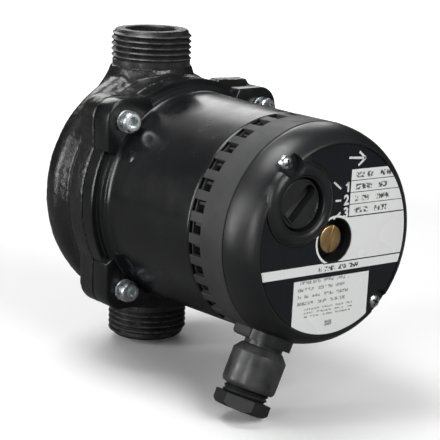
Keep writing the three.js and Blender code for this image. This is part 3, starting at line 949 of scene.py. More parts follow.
FOIL = PrintedFoil(
    "rating_foil", (0.005, 0.0058, 0.0085), (0.0075, 0.0085, 0.0115), (0.2, 0.3),
    grain_mm=1.2, grain_depth_mm=0.006, mottle_scale=40, scuff=0.1, scuff_colour=(0.08, 0.08, 0.085),
    panels=(
        Panel(21.3, 16.85, 30.2, 17.9),
        Panel(19.0, -0.2, 38.0, 16.6),
        Panel(0.0, -10.0, 80.0, 3.6),
        Panel(0.0, -25.0, 37.2, 22.9),
    ),
    lines=(
        Panel(21.3, 21.6, 30.2, 0.32),
        Panel(21.3, 17.2, 30.2, 0.32),
        Panel(21.3, 12.8, 30.2, 0.32),
        Panel(21.3, 8.2, 30.2, 0.5),
        Panel(20.0, -8.35, 50.0, 0.5),
        Panel(0.0, -12.6, 38.0, 0.4),
    ),
    small_print=(
        PrintRows(Panel(12.8, 17.0, 8.4, 17.6), 4.4, 1.1),
        PrintRows(Panel(22.6, 17.0, 7.4, 17.6), 4.4, 1.1),
        PrintRows(Panel(3.0, -10.3, 20.0, 3.6), 3.6, 1.1, 0.95),
        PrintRows(Panel(-4.0, -18.3, 25.0, 10.4), 2.6, 0.85, 0.62),
        PrintRows(Panel(-1.0, -26.0, 24.0, 4.2), 1.4, 0.55, 0.7),
        PrintRows(Panel(0.0, -31.0, 4.6, 4.2), 4.2, 0.7, 0.7, 0.62),
    ),
)


# --- geometry node trees ---------------------------------------------------------------------------


class Patterns:
    """Geometry Nodes trees for what repeats round an axis or follows a screw line."""

    @staticmethod
    def start(name: str, numbers: Sequence[tuple[str, str, float]]) -> tuple[Wiring, bpy.types.Node]:
        """Makes a tree with a geometry in, a material in, number inputs and a geometry out.

        Args:
            name: the tree's name.
            numbers: name, socket kind and first value of each number input.

        Returns:
            The wiring and the input node.
        """
        tree = bpy.data.node_groups.new(name, "GeometryNodeTree")
        tree.interface.new_socket("Geometry", in_out="INPUT", socket_type="NodeSocketGeometry")
        tree.interface.new_socket("Material", in_out="INPUT", socket_type="NodeSocketMaterial")
        for label, kind, value in numbers:
            socket = tree.interface.new_socket(label, in_out="INPUT", socket_type=kind)
            socket.default_value = value
        tree.interface.new_socket("Geometry", in_out="OUTPUT", socket_type="NodeSocketGeometry")
        wires = Wiring(tree)
        return wires, wires.node("NodeGroupInput")

    @staticmethod
    def finish(wires: Wiring, start: bpy.types.Node, shape: Socket) -> Tree:
        """Ends a tree with real geometry and its material.

        Args:
            wires: the tree that is ended.
            start: the tree's input node.
            shape: the geometry that comes out.

        Returns:
            The tree.
        """
        real = wires.node("GeometryNodeRealizeInstances", {0: shape})
        dressed = wires.node(
            "GeometryNodeSetMaterial", {"Geometry": real.outputs[0], "Material": start.outputs["Material"]}
        )
        wires.node("NodeGroupOutput", {0: dressed.outputs[0]})
        return wires.tree

    @staticmethod
    def ring_tree() -> Tree:
        """Copies the object's own mesh round the motor axis, its start turned by a phase.

        Returns:
            The tree.
        """
        ready = bpy.data.node_groups.get("CopiesRoundAxis")
        if ready:
            return ready
        wires, start = Patterns.start(
            "CopiesRoundAxis", [("Count", "NodeSocketInt", 32), ("Phase", "NodeSocketFloat", 0.0)]
        )
        index = wires.node("GeometryNodeInputIndex").outputs[0]
        step = wires.math("DIVIDE", 2 * math.pi, start.outputs["Count"])
        angle = wires.math("ADD", wires.math("MULTIPLY", index, step), start.outputs["Phase"])
        turn = wires.node("ShaderNodeCombineXYZ", {1: angle})
        points = wires.node("GeometryNodePoints", {"Count": start.outputs["Count"]})
        own = start.outputs["Geometry"]
        copies = wires.node(
            "GeometryNodeInstanceOnPoints",
            {"Points": points.outputs[0], "Instance": own, "Rotation": turn.outputs[0]},
        )
        return Patterns.finish(wires, start, copies.outputs[0])

    @staticmethod
    def thread_tree() -> Tree:
        """Sweeps a pointed ridge along a screw line about the upright axis.

        Returns:
            The tree.
        """
        ready = bpy.data.node_groups.get("ScrewRidge")
        if ready:
            return ready
        wires, start = Patterns.start(
            "ScrewRidge",
            [
                ("Turns", "NodeSocketFloat", 5.0),
                ("Radius", "NodeSocketFloat", 0.016),
                ("Length", "NodeSocketFloat", 0.0115),
                ("Ridge", "NodeSocketFloat", 0.0011),
            ],
        )
        line = wires.node(
            "GeometryNodeCurveSpiral",
            {
                "Resolution": 72,
                "Rotations": start.outputs["Turns"],
                "Start Radius": start.outputs["Radius"],
                "End Radius": start.outputs["Radius"],
                "Height": start.outputs["Length"],
            },
        )
        upright = wires.node("GeometryNodeSetCurveNormal", {"Curve": line.outputs[0]}, mode="Z_UP")
        size = {"Resolution": 4, "Radius": start.outputs["Ridge"]}
        section = wires.node("GeometryNodeCurvePrimitiveCircle", size)
        swept = wires.node(
            "GeometryNodeCurveToMesh",
            {"Curve": upright.outputs[0], "Profile Curve": section.outputs[0], "Fill Caps": True},
        )
        return Patterns.finish(wires, start, swept.outputs[0])

    @staticmethod
    def run(made: Piece, tree: Tree, finish: Finish, **values: float) -> Piece:
        """Runs a tree on an object and keeps the plain mesh that comes out.

        Args:
            made: the object that carries the tree.
            tree: the tree.
            finish: what the result is made of.
            **values: the tree's number inputs by name.

        Returns:
            The same object with its new mesh.
        """
        step = made.modifiers.new("pattern", "NODES")
        step.node_group = tree
        for item in tree.interface.items_tree:
            if item.item_type != "SOCKET" or item.in_out != "INPUT":
                continue
            if item.name == "Material":
                step[item.identifier] = finish.material()
            elif item.name.replace(" ", "_") in values:
                step[item.identifier] = values[item.name.replace(" ", "_")]
        return Maker.bake(made)


def dress(made: Piece, finish: Finish, body: str, slot: str, *nodes: str) -> Piece:
    """Gives a piece its finish and its body, and hides the CAD nodes it stands for.

    Args:
        made: the piece.
        finish: its finish.
        body: the CAD body it rides on.
        slot: the record's material slot; not used.
        *nodes: the CAD nodes that it replaces.

    Returns:
        The piece.
    """
    made.data.materials.clear()
    made.data.materials.append(finish.material())
    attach(made, body)
    if nodes:
        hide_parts(*nodes)
    LOG.info("%s: %d faces", made.name, len(made.data.polygons))
    return made


# --- sub-assemblies --------------------------------------------------------------------------------


@dataclass
class Casing:
    """The cast iron pump casing with its two threaded ports."""

    parting: float = -20.6
    ear_back: float = -11.2
    port_end: float = 65.0
    collar_start: float = 50.4
    port_bore: float = 10.5
    thread_crest: float = 16.6
    pitch: float = 2.309
    turns: float = 4.9
    skin_voxel: float = 0.74
    skin_unevenness: tuple[Pair, ...] = ((160, 0.16), (560, 0.1), (1150, 0.11))
    bowl: list[Pair] = field(
        default_factory=lambda: [
            (47.6, -20.9), (47.8, -12.5), (46.7, -9.4), (49.2, -5.5), (49.8, -1.5), (48.3, 4), (43.2, 9.6),
            (36.4, 15), (26, 20.2), (14, 23.2), (0, 24),
        ]
    )
    neck: list[Pair] = field(
        default_factory=lambda: [(33.5, 22), (31.5, 29), (26.5, 36), (21.6, 42), (18.2, 46.5), (16.5, 50.4)]
    )

    def ears(self) -> list[Piece]:
        """Builds the four ears behind the parting plane."""
        ends = self.ear_back, self.parting - 0.6
        return [Maker.prism("ear", ear_outline(sx, sz), motor_axis(), *ends) for sx, sz in CORNERS]

    def necks(self) -> list[Piece]:
        """Builds the flares between the bowl and the ports, flattened front to back.

        Returns:
            One flare for each port.
        """
        made = []
        for side in (1, -1):
            curve = Maker.eased(self.neck)
            profile = [(0, 10 * side), *[(r, z * side) for r, z in curve], (0, self.collar_start * side)]
            flare = Maker.lathe("neck", profile, pipe_axis(), 96)
            for corner in flare.data.vertices:
                radius = math.hypot(corner.co.x, corner.co.y) / MM
                squash = 0.72 + 0.28 * ramp((24.0 - radius) / 7.0)
                if corner.co.y > 0:
                    squash = 1.0 - 0.5 * ramp((radius - 17.0) / 15.0)
                corner.co.y = corner.co.y * squash + 0.0015 * ramp((radius - 16.5) / 8.0)
            made.append(flare)
        return made

    def body(self) -> Piece:
        """Builds the rough casting as one skin, opened for the chamber and the ports.

        Returns:
            The solid.
        """
        ring = Maker.eased(self.bowl, 8)
        made = Maker.lathe("cast_casing", [(0, self.parting - 0.3), *ring], motor_axis(), 144)
        pad = Maker.prism("pad", [(17, 42), (20, 45.2), (34, 44.6), (37, 41)], motor_axis(), -14.5, -21)
        Maker.join(made, [*self.ears(), *self.necks(), pad])
        skin = made.modifiers.new("skin", "REMESH")
        skin.mode = "VOXEL"
        skin.voxel_size = self.skin_voxel * MM
        relax = made.modifiers.new("relax", "SMOOTH")
        relax.factor = 0.5
        relax.iterations = 5
        Maker.bake(made)
        self.roughen(made)
        return Maker.combine(made, self.cavities())

    def cavities(self) -> list[Piece]:
        """Builds the cutters: the open front, the chamber, the shaft well, both bores and both passages.

        Returns:
            The cutters.
        """
        axis, pipe = motor_axis(), pipe_axis()
        room = [(0, -30), (37, -30), (37, -17.6), (31, -17.6), (31, -7.5), (28.5, -5), (0, -5)]
        shaft_end = [(0, -3), (10, -3), (10, 12), (9, 16), (5, 19), (0, 20)]
        return [
            Maker.prism("front", rectangle(-60, -80, 60, 80), axis, self.parting, -40),
            Maker.lathe("chamber", room, axis, 72),
            Maker.rod("eye", 12.8, axis, -0.7, -8),
            Maker.lathe("well", shaft_end, axis, 48),
            *[Maker.rod("bore", self.port_bore, pipe, side * 70, side * 40, 72) for side in (1, -1)],
            Maker.prism("inlet", arc(0, 7, 9.2, 0, 360, 35)[:-1], pipe, -2, -44),
            Maker.prism("outlet", arc(-6, -3, 7.6, 0, 360, 35)[:-1], pipe, 20, 44),
        ]

    def roughen(self, made: Piece) -> None:
        """Gives the casting its sand-cast unevenness, by waves of a count per metre and a height."""
        normals = [v.normal.copy() for v in made.data.vertices]
        for corner, normal in zip(made.data.vertices, normals):
            lift = sum(noise.noise(corner.co * scale) * height for scale, height in self.skin_unevenness)
            corner.co += normal * lift * MM

    def port(self, name: str, side: int) -> Piece:
        """Builds a machined port end: collar, thread and chamfered mouth.

        Args:
            name: object name.
            side: 1 for the upper port, -1 for the lower.

        Returns:
            The port end.
        """
        end = self.port_end
        root = self.thread_crest - 1.25
        profile = [
            (self.port_bore, self.collar_start - 4), (15.6, self.collar_start - 4), (16.1, self.collar_start),
            (16.1, 52.6), (root, 53.4), (root, end - 0.9), (root - 0.8, end), (self.port_bore + 0.5, end),
            (self.port_bore, end - 0.6),
        ]
        made = Maker.lathe(name, [(r, z * side) for r, z in profile], pipe_axis(), 120)
        ridge = Maker.wrap(name + "_ridge", bmesh.new())
        Patterns.run(
            ridge, Patterns.thread_tree(), PORT_PAINT,
            Turns=self.turns, Radius=(root + 0.02) * MM, Length=self.turns * self.pitch * MM,
            Ridge=1.2 * MM,
        )
        for corner in ridge.data.vertices:
            height = corner.co.z + 52.9 * MM
            limit = (self.thread_crest - 1.6 * max(0.0, height / MM - 63.2)) * MM
            radius = math.hypot(corner.co.x, corner.co.y)
            if radius > limit:
                corner.co.x *= limit / radius
                corner.co.y *= limit / radius
            corner.co.z = min(height, end * MM - 0.00002)
        if side < 0:
            ridge.data.transform(Matrix.Rotation(math.pi, 4, "X"))
        return Maker.shade(Maker.join(made, [ridge]), 25)

    def build(self) -> None:
        """Makes and dresses the casing."""
        dress(Maker.shade(self.body(), 40), CAST_SKIN, "pump", "casing", "pump_housing")
        for name, side in (("port_outlet", 1), ("port_inlet", -1)):
            dress(self.port(name, side), PORT_PAINT, "pump", "casing")


# The four flange corners by sign, and each one's screw place and rounding, mm.
CORNERS = ((-1, 1), (1, 1), (1, -1), (-1, -1))
SCREW_OFFSET = 34.0
EAR_RADIUS = 8.3


def ear_outline(sx: int, sz: int) -> list[Pair]:
    """Gives a flange ear's outline in the quarter that the two signs name, mm.

    Args:
        sx: 1 to the right, -1 to the left.
        sz: 1 above, -1 below.

    Returns:
        The corners in order.
    """
    half = SCREW_OFFSET + EAR_RADIUS
    tip = arc(SCREW_OFFSET, SCREW_OFFSET, EAR_RADIUS, 90, 0, 10)
    quarter = [(19.2, 36.0), (22.6, half), *tip, (half, 22.4), (38.7, 20.1), (31, 18)]
    return [(sx * x, sz * z) for x, z in quarter]


@dataclass
class CapScrew:
    """A socket head cap screw with a knurled head."""

    x: float
    z: float
    seat: float = -30.9
    head_radius: float = 4.15
    head_height: float = 5.0
    socket_flats: float = 4.0
    socket_depth: float = 2.6
    shank_radius: float = 2.15
    shank_end: float = -13.5
    knurls: int = 36

    def head(self, name: str) -> Piece:
        """Builds the head with its hexagon socket.

        Args:
            name: object name.

        Returns:
            The head.
        """
        top, r = self.seat - self.head_height, self.head_radius
        side = [(0, self.seat), (r - 0.15, self.seat), (r - 0.12, top + 0.75)]
        turns = (0.4, 0.8, 1.2, 1.57)
        edge = [(r - 0.75 + 0.6 * math.cos(a), top + 0.6 - 0.6 * math.sin(a)) for a in turns]
        head = Maker.lathe(name, [*side, *edge, (0, top)], motor_axis(), 60)
        outline = hexagon(self.socket_flats, 10)
        socket = Maker.prism("socket", outline, motor_axis(), top + self.socket_depth, top - 1)
        corner = self.socket_flats / math.sqrt(3)
        cone = [(0, top + 0.35), (corner - 0.35, top + 0.35), (corner + 0.15, top - 0.1), (0, top - 0.1)]
        return Maker.combine(head, [socket, Maker.lathe("mouth", cone, motor_axis(), 36)])

    def build(self, name: str, node: str) -> Piece:
        """Makes and dresses the screw.

        Args:
            name: piece name.
            node: the CAD node it replaces.

        Returns:
            The piece.
        """
        seat, r = self.seat, self.head_radius
        head = self.head(name)
        ridge = [(r - 0.5, -0.22), (r + 0.12, 0.0), (r - 0.5, 0.22)]
        tooth = Maker.prism(name + "_knurl", ridge, motor_axis(), seat - 0.1, seat - self.head_height + 0.9)
        Patterns.run(tooth, Patterns.ring_tree(), ZINC, Count=self.knurls)
        shank = Maker.rod("shank", self.shank_radius, motor_axis(), seat - 0.5, self.shank_end, 24)
        flat = [(2.4, seat - 0.02), (r + 0.2, seat - 0.02), (r + 0.15, seat - 0.25), (2.4, seat - 0.25)]
        Maker.join(head, [tooth, shank, Maker.lathe("washer", flat, motor_axis(), 48)])
        head.data.transform(Matrix.Translation((self.x * MM, 0, self.z * MM)))
        return dress(Maker.shade(head, 30), ZINC, "pump", "zinc", node)


@dataclass
class MotorHousing:
    """The painted motor housing: flange ears, rim, fillet and the smooth barrel."""

    back: float = -20.9
    ear_front: float = -30.6
    front: float = -82.3
    rear_radius: float = 42.85
    front_radius: float = 41.8
    dimples: tuple[Pair, ...] = ((-36.8, 21.6), (-37.2, -21.0))

    def barrel(self) -> Piece:
        """Builds the barrel with the flange rim in one turned wall.

        Returns:
            The barrel.
        """
        wide, r, front = self.rear_radius, self.front_radius, self.front
        rim = [
            (37.2, self.back), (47.1, self.back), (47.6, self.back - 0.5), (47.6, -27.0), (47.2, -27.5),
            (45.5, -27.6), (45.1, -27.9), (44.95, -29.7), (44.6, -30.1), (44.1, -30.3), (43.5, -30.9),
            (43.1, -31.8), (wide, -33.2), (42.84, -34.0),
        ]
        draft = [(wide + (r - wide) * t, -33.2 + (front + 33.8) * t) for t in (0.25, 0.5, 0.75)]
        edge = [(r + 0.02, front + 1.4), (r, front + 0.6), (r - 0.25, front + 0.15), (r - 0.6, front)]
        inside = [(40.7, front), (40.7, -30), (37.2, -30)]
        profile = [*rim, *draft, *edge, *inside]
        return Maker.shade(Maker.lathe("motor_barrel", profile, motor_axis(), 192), 28)

    def ears(self) -> Piece:
        """Builds the four ears with rounded edges, kept clear of the hollow inside.

        Returns:
            The four ears as one mesh.
        """
        made = None
        for sx, sz in CORNERS:
            name = "flange_ears" if made is None else "ear"
            ear = Maker.prism(name, ear_outline(sx, sz), motor_axis(), self.back, self.ear_front)
            Maker.round_edges(ear, 0.75, 3, 30)
            made = ear if made is None else Maker.join(made, [ear])
        keep_in = Maker.rod("hollow", 40.75, motor_axis(), -18, -40, 96)
        Maker.combine(made, [keep_in])
        return Maker.shade(made, 40)

    def marks(self) -> Piece:
        """Builds the small round marks that stand beside the upper and lower left screws.

        Returns:
            Both marks as one mesh.
        """
        made = None
        outline = [(0, -1), (2.6, -1), (2.5, 0.15), (1.6, 0.5), (0, 0.62)]
        radius = self.rear_radius - 0.3
        for x, z in self.dimples:
            angle = math.atan2(z, x)
            spot = Axis(
                Vector((radius * math.cos(angle), -38.5, radius * math.sin(angle))),
                Vector((math.cos(angle), 0, math.sin(angle))),
                Vector((0, 1, 0)),
                Vector((-math.sin(angle), 0, math.cos(angle))),
            )
            dome = Maker.lathe("casting_dots", outline, spot, 32)
            made = dome if made is None else Maker.join(made, [dome])
        return Maker.shade(made, 60)

    def build(self) -> None:
        """Makes and dresses the housing and its screws."""
        dress(self.barrel(), MOTOR_PAINT, "pump", "housing", "motor_housing")
        dress(self.ears(), MOTOR_PAINT, "pump", "housing")
        dress(self.marks(), MOTOR_PAINT, "pump", "housing")
        for index, (sx, sz) in enumerate(CORNERS, start=1):
            screw = CapScrew(SCREW_OFFSET * sx, SCREW_OFFSET * sz)
            screw.build(f"cap_screw_{index}", f"flange_screw_{index}")


@dataclass
class Gland:
    """The cable gland under the terminal box, leaning towards seven o'clock."""

    lean_deg: float = 25.3
    height: float = -100.2
    collar_end: float = 44.5
    half_width: float = 10.0
    body_radius: float = 10.35
    neck_radius: float = 7.4
    sleeve_radius: float = 7.7
    cable_radius: float = 4.8
    flats: float = 18.6

    def axis(self) -> Axis:
        """Gives the gland's own axis, pointing out of the box.

        Returns:
            The axis.
        """
        lean = math.radians(self.lean_deg)
        along = Vector((-math.sin(lean), 0, -math.cos(lean)))
        across = Vector((math.cos(lean), 0, -math.sin(lean)))
        return Axis(Vector((0, self.height, 0)), along, across, Vector((0, 1, 0)))

    def collar_block(self) -> Piece:
        """Builds the square half of the collar that belongs to the base.

        Returns:
            The block.
        """
        w = self.half_width
        outline = rectangle(-w, -101.7 - self.height, w, -91.3 - self.height)
        return Maker.prism("collar_block", outline, self.axis(), 37.0, self.collar_end)

    def collar_dome(self) -> Piece:
        """Builds the round half of the collar that belongs to the cover."""
        return Maker.rod("collar_dome", self.half_width, self.axis(), 36.5, self.collar_end, 96)

    def hole(self) -> Piece:
        """Builds the cutter for the hole that the gland's neck stands in."""
        return Maker.rod("gland_hole", self.neck_radius + 0.3, self.axis(), 34.0, 47.0, 72)

    def body(self) -> Piece:
        """Builds the gland's body with its neck.

        Returns:
            The solid.
        """
        r, neck = self.body_radius, self.neck_radius
        profile = [
            (5.2, 36.3), (neck, 36.3), (neck, 46.0), (7.9, 46.2), (8.2, 46.4), (10.15, 48.8), (10.3, 49.0),
            (r, 49.3), (r, 60.2), (10.25, 60.9), (9.9, 61.6), (9.5, 62.0), (9.0, 62.0), (9.0, 49.6),
            (5.2, 49.6),
        ]
        return Maker.shade(Maker.lathe("gland_shell", profile, self.axis(), 96), 25)

    def press_screw(self) -> Piece:
        """Builds the pressing screw: sleeve, thread and bevelled hexagon.

        Returns:
            The screw.
        """
        axis = self.axis()
        sleeve = rectangle(self.cable_radius, 57.3, self.sleeve_radius, 65.8)
        made = Maker.lathe("gland_nut", sleeve, axis, 72)
        ridge = Maker.wrap("gland_ridge", bmesh.new())
        Patterns.run(
            ridge, Patterns.thread_tree(), GLAND_PLASTIC,
            Turns=5.0, Radius=(self.sleeve_radius + 0.05) * MM, Length=7.5 * MM, Ridge=0.85 * MM,
        )
        turn = Matrix((axis.across, axis.up, axis.along)).transposed().to_4x4()
        shift = Matrix.Translation((axis.origin + axis.along * 58.0) * MM)
        ridge.data.transform(shift @ turn)
        nut = Maker.prism("hexagon", hexagon(self.flats, 11), axis, 65.6, 70.4)
        r = self.flats / math.sqrt(3)
        slope = [(r - 1.25, 72.0), (r - 1.25, 70.4), (r + 0.1, 69.2), (r + 4, 69.2), (r + 4, 72.0)]
        bevel = Maker.lathe("bevel", slope, axis, 96)
        Maker.combine(nut, [bevel, Maker.rod("cable_way", self.cable_radius, axis, 60, 75, 72)])
        Maker.round_edges(nut, 0.3, 2, 20)
        return Maker.shade(Maker.join(made, [ridge, nut]), 25)

    def build(self) -> None:
        """Makes and dresses the gland."""
        dress(self.body(), GLAND_SHELL, "pump", "gland_plastic", "gland_body")
        dress(self.press_screw(), GLAND_PLASTIC, "gland_screw", "gland_plastic", "gland_press_screw")


@dataclass
class PanScrew:
    """A pan head screw with a cross recess."""

    x: float
    z: float
    turn_deg: float
    top: float = -114.0
    radius: float = 2.9
    height: float = 2.8
    shank_radius: float = 1.6
    cross_half_width: float = 0.38

    def build(self, name: str, node: str) -> Piece:
        """Makes and dresses the screw.

        Args:
            name: piece name.
            node: the CAD node it replaces.

        Returns:
            The piece.
        """
        r, top, base = self.radius, self.top, self.top + self.height
        axis = motor_axis(self.x, self.z)
        rise = self.height * 0.62
        crown = [(r * math.cos(a), top + rise * (1 - math.sin(a))) for a in (0.0, 0.3, 0.6, 0.9, 1.2)]
        head = Maker.lathe(name, [(0, base), (r, base), *crown, (0, top)], axis, 48)
        half, thin = r * 0.6, self.cross_half_width
        bar = rectangle(-half, -thin, half, thin)
        cross = []
        for turn in (0, 90):
            outline = turned(bar, self.turn_deg + turn, self.x, self.z)
            cross.append(Maker.prism("cross", outline, motor_axis(), top + 1.5, top - 1))
        Maker.combine(head, cross)
        shank = Maker.rod("shank", self.shank_radius, axis, base - 0.3, base + 13.8, 20)
        return dress(Maker.shade(Maker.join(head, [shank]), 35), ZINC, "pump", "zinc", node)


# The selector's place on the cover, mm.
KNOB_X = -17.5
KNOB_Z = 15.6


@dataclass
class TerminalBox:
    """The moulded base with its vent slots, and the cover with knob boss, recesses and label."""

    gland: Gland
    rear: float = -82.6
    slot_end: float = -89.4
    base_front: float = -101.7
    cover_rear: float = -102.0
    slots: int = 32
    slot_width: float = 4.6
    slot_phase_deg: float = 6.0
    label_front: float = -115.4
    boss_radius: float = 15.2
    screws: tuple[Pair, ...] = ((-22.3, 30.3), (24.3, -27.6))
    screw_turns_deg: Pair = (12, 60)
    cover_profile: list[Pair] = field(
        default_factory=lambda: [
            (41.75, -102.25), (41.7, -104), (41.3, -106.6), (40.8, -108.6), (40.1, -110.7), (39.2, -112.6),
            (38.3, -114.0), (37.5, -114.95), (36.9, -115.55), (36.45, -115.85), (36.1, -115.95),
            (35.9, -115.9), (35.8, -115.6),
        ]
    )
    hump: list[Pair] = field(
        default_factory=lambda: [
            (0, -113.4), (15.5, -113.4), (15.3, -115.6), (14.9, -116.2), (14.3, -116.8), (13.6, -117.3),
            (12.8, -117.58), (12.1, -117.6), (11.4, -117.4), (10.8, -117.0), (10.4, -116.4), (0, -116.4),
        ]
    )

    def screw_rods(self, name: str, radius: float, start: float, end: float, steps: int) -> list[Piece]:
        """Makes the same rod at both cover screws."""
        return [Maker.rod(name, radius, motor_axis(x, z), start, end, steps) for x, z in self.screws]

    def base(self) -> Piece:
        """Builds the base: front wall, half collar, floor, inner ring, lip, and a dark ring of painted shade
        behind the slots.

        Returns:
            The base.
        """
        axis, slot_end, front = motor_axis(), self.slot_end, self.base_front
        wall = [(39.8, slot_end), (41.95, slot_end), (41.95, front + 0.3), (41.7, front), (39.8, front)]
        made = Maker.lathe("base_wall", wall, axis, 192)
        collar = Maker.round_edges(self.gland.collar_block(), 1.6, 4, 30)
        inside = Maker.rod("inside", 39.9, axis, -80, -110, 128)
        Maker.combine(collar, [inside, self.gland.hole()])
        Maker.combine(made, [self.gland.hole()])
        floor = Maker.lathe("floor", rectangle(9.6, -90.5, 40.5, -92.5), axis, 96)
        ring = Maker.lathe("inner_ring", rectangle(36.0, -83, 37.4, -91), axis, 96)
        lip = Maker.lathe("lip", rectangle(39.8, self.rear, 40.3, -83.1), axis, 128)
        # Painted shade: a dark ring behind the vent slots hides the coil and stands in for the shade inside.
        slot_shade_sheet = Maker.lathe("slot_shade_sheet", rectangle(36.2, -82.9, 40.65, -83.4), axis, 96)
        return Maker.shade(Maker.join(made, [collar, floor, ring, lip, slot_shade_sheet]), 30)

    def teeth(self) -> Piece:
        """Builds the wall between the slots, one tooth copied round the axis.

        Returns:
            All teeth as one mesh.
        """
        span = 2 * math.pi / self.slots
        half = span / 2 - math.asin(self.slot_width / 2 / 41.9)
        outer = [(41.98 * math.cos(a), 41.98 * math.sin(a)) for a in (-half, -half / 3, half / 3, half)]
        inner = [(39.8 * math.cos(a), 39.8 * math.sin(a)) for a in (half, 0, -half)]
        made = Maker.prism("vent_teeth", outer + inner, motor_axis(), self.rear, self.slot_end - 0.4)
        Maker.round_edges(made, 0.18, 1, 50)
        phase = -math.radians(self.slot_phase_deg) - span / 2
        Patterns.run(made, Patterns.ring_tree(), BASE_PLASTIC, Count=self.slots, Phase=phase)
        return Maker.shade(made, 30)

    def ribs(self) -> Piece:
        """Builds the ribs that show behind the slots.

        Returns:
            All ribs as one mesh.
        """
        made = Maker.prism("vent_ribs", rectangle(37.2, -0.5, 39.9, 0.5), motor_axis(), -83.4, -90.6)
        phase = -math.radians(self.slot_phase_deg) + 0.03
        Patterns.run(made, Patterns.ring_tree(), BASE_PLASTIC, Count=self.slots, Phase=phase)
        return Maker.shade(made, 30)

    def label_outline(self, radius: float, clear: float) -> Piece:
        """Builds the label's shape as a solid, for the recess or for the foil itself.

        Args:
            radius: outer radius, mm.
            clear: how far the edges beside the knob move outwards, mm.

        Returns:
            The solid.
        """
        disc = Maker.rod("label", radius, motor_axis(), self.label_front - 4, self.label_front + 0.35, 192)
        knob = Maker.rod("round", self.boss_radius + 0.35 - clear, motor_axis(KNOB_X, KNOB_Z), -125, -110, 96)
        low, edge = KNOB_Z + 2, -13.4 - clear
        step = [(-60, low), (edge, low), (edge, 29.0), (edge + 0.5, 29.6), (edge, 30.2), (edge, 60)]
        step.append((-60, 60))
        corner = Maker.prism("corner", step, motor_axis(), -125, -110)
        return Maker.combine(disc, [knob, corner])

    def cover(self) -> Piece:
        """Builds the cover with its boss, well, recesses and half collar.

        Returns:
            The cover.
        """
        axis, knob_axis = motor_axis(), motor_axis(KNOB_X, KNOB_Z)
        inner = [(34.5, -113.1), (37.0, -110.4), (38.4, -106), (39.0, self.cover_rear - 0.1)]
        outer = [(41.5, self.cover_rear), *self.cover_profile, (34.8, -115.75), (0, -115.75)]
        made = Maker.lathe("cover_shell", [(0, -113.1), *inner, *outer], axis, 192)
        boss = Maker.lathe("boss", self.hump, knob_axis, 128)
        supports = self.supports()
        Maker.combine(made, [self.label_outline(35.7, 0.0)])
        Maker.combine(made, [boss, supports, self.collar()], Join.ADD)
        holes = [
            Maker.rod("well", 10.0, knob_axis, -109.4, -125, 128),
            Maker.rod("stem", 3.0, knob_axis, -105, -112, 32),
            Maker.rod("vent", 8.0, axis, -100, -125, 128),
            *self.screw_rods("counterbore", 4.8, -112.9, -125, 72),
            *self.screw_rods("screw_hole", 2.1, -100, -112, 24),
            self.gland.hole(),
        ]
        Maker.combine(made, holes)
        Maker.round_edges(made, 0.22, 2, 38)
        return Maker.shade(made, 38)

    def supports(self) -> Piece:
        """Builds the knob's cup, the vent's tube and the screw pillars, kept inside the cover's outline.

        Returns:
            One solid.
        """
        cup = Maker.rod("cup", 11.6, motor_axis(KNOB_X, KNOB_Z), -107.6, -114, 64)
        tube = Maker.rod("tube", 9.8, motor_axis(), -104, -114, 64)
        made = Maker.combine(cup, [tube, *self.screw_rods("pillar", 5.6, -103, -114, 48)], Join.ADD)
        outline = [(0, -100), (41.4, -100), *self.cover_profile, (0, -115.6)]
        return Maker.combine(made, [Maker.lathe("keep", outline, motor_axis(), 96)], Join.SHARE)

    def collar(self) -> Piece:
        """Builds the cover's half of the gland collar, ahead of the parting line.

        Returns:
            The solid.
        """
        dome = self.gland.collar_dome()
        behind = Maker.prism("behind", rectangle(-60, -70, 60, 70), motor_axis(), self.cover_rear, -80)
        hollow = Maker.rod("hollow", 39.2, motor_axis(), -100, -109, 96)
        Maker.combine(dome, [behind, hollow])
        return Maker.round_edges(dome, 0.9, 4, 40)

    def foil(self) -> Piece:
        """Builds the printed foil in its recess.

        Returns:
            The foil.
        """
        made = self.label_outline(35.35, -0.35)
        made.name = "printed_foil"
        front = Maker.prism("ahead", rectangle(-60, -60, 60, 60), motor_axis(), self.label_front, -130)
        vent = Maker.rod("vent", 8.5, motor_axis(), -100, -125, 96)
        notch = Maker.rod("notch", 5.2, motor_axis(*self.screws[1]), -100, -125, 64)
        Maker.combine(made, [front, vent, notch])
        return Maker.shade(made, 30)

    def print_marks(self) -> Piece:
        """Builds the arrow, the position ticks and the numerals as thin print on the foil.

        Returns:
            The print as one mesh.
        """
        arrow = [
            ((5.3, 30.1), (13.2, 29.3), 0.85), ((10.3, 31.9), (13.6, 29.2), 0.85),
            ((10.0, 26.8), (13.6, 29.3), 0.85),
        ]
        ticks = [
            ((-1.7, 21.8), (1.9, 19.0), 0.75), ((-0.6, 14.8), (2.2, 14.6), 0.75),
            ((-1.2, 8.1), (2.2, 10.2), 0.75),
        ]
        one = [((5.5, 17.4), (5.5, 21.1), 0.85), ((4.3, 19.9), (5.6, 20.85), 0.6)]
        strokes = [self.stroke(*entry) for entry in (*arrow, *ticks, *one)]
        made = strokes[0]
        made.name = "position_print"
        rest = [self.numeral(number, 3.6, height) for number, height in (("2", 12.75), ("3", 8.05))]
        return Maker.join(made, strokes[1:] + rest)

    def stroke(self, start: Pair, end: Pair, width: float) -> Piece:
        """Makes one straight printed stroke between two places.

        Args:
            start: one end, mm.
            end: the other end, mm.
            width: width of the stroke, mm.

        Returns:
            The stroke.
        """
        dx, dz = end[0] - start[0], end[1] - start[1]
        length = math.hypot(dx, dz)
        nx, nz = -dz / length * width / 2, dx / length * width / 2
        ends = [(*start, 1), (*end, 1), (*end, -1), (*start, -1)]
        outline = [(x + nx * side, z + nz * side) for x, z, side in ends]
        return Maker.prism("stroke", outline, motor_axis(), self.label_front + 0.1, self.label_front - 0.03)

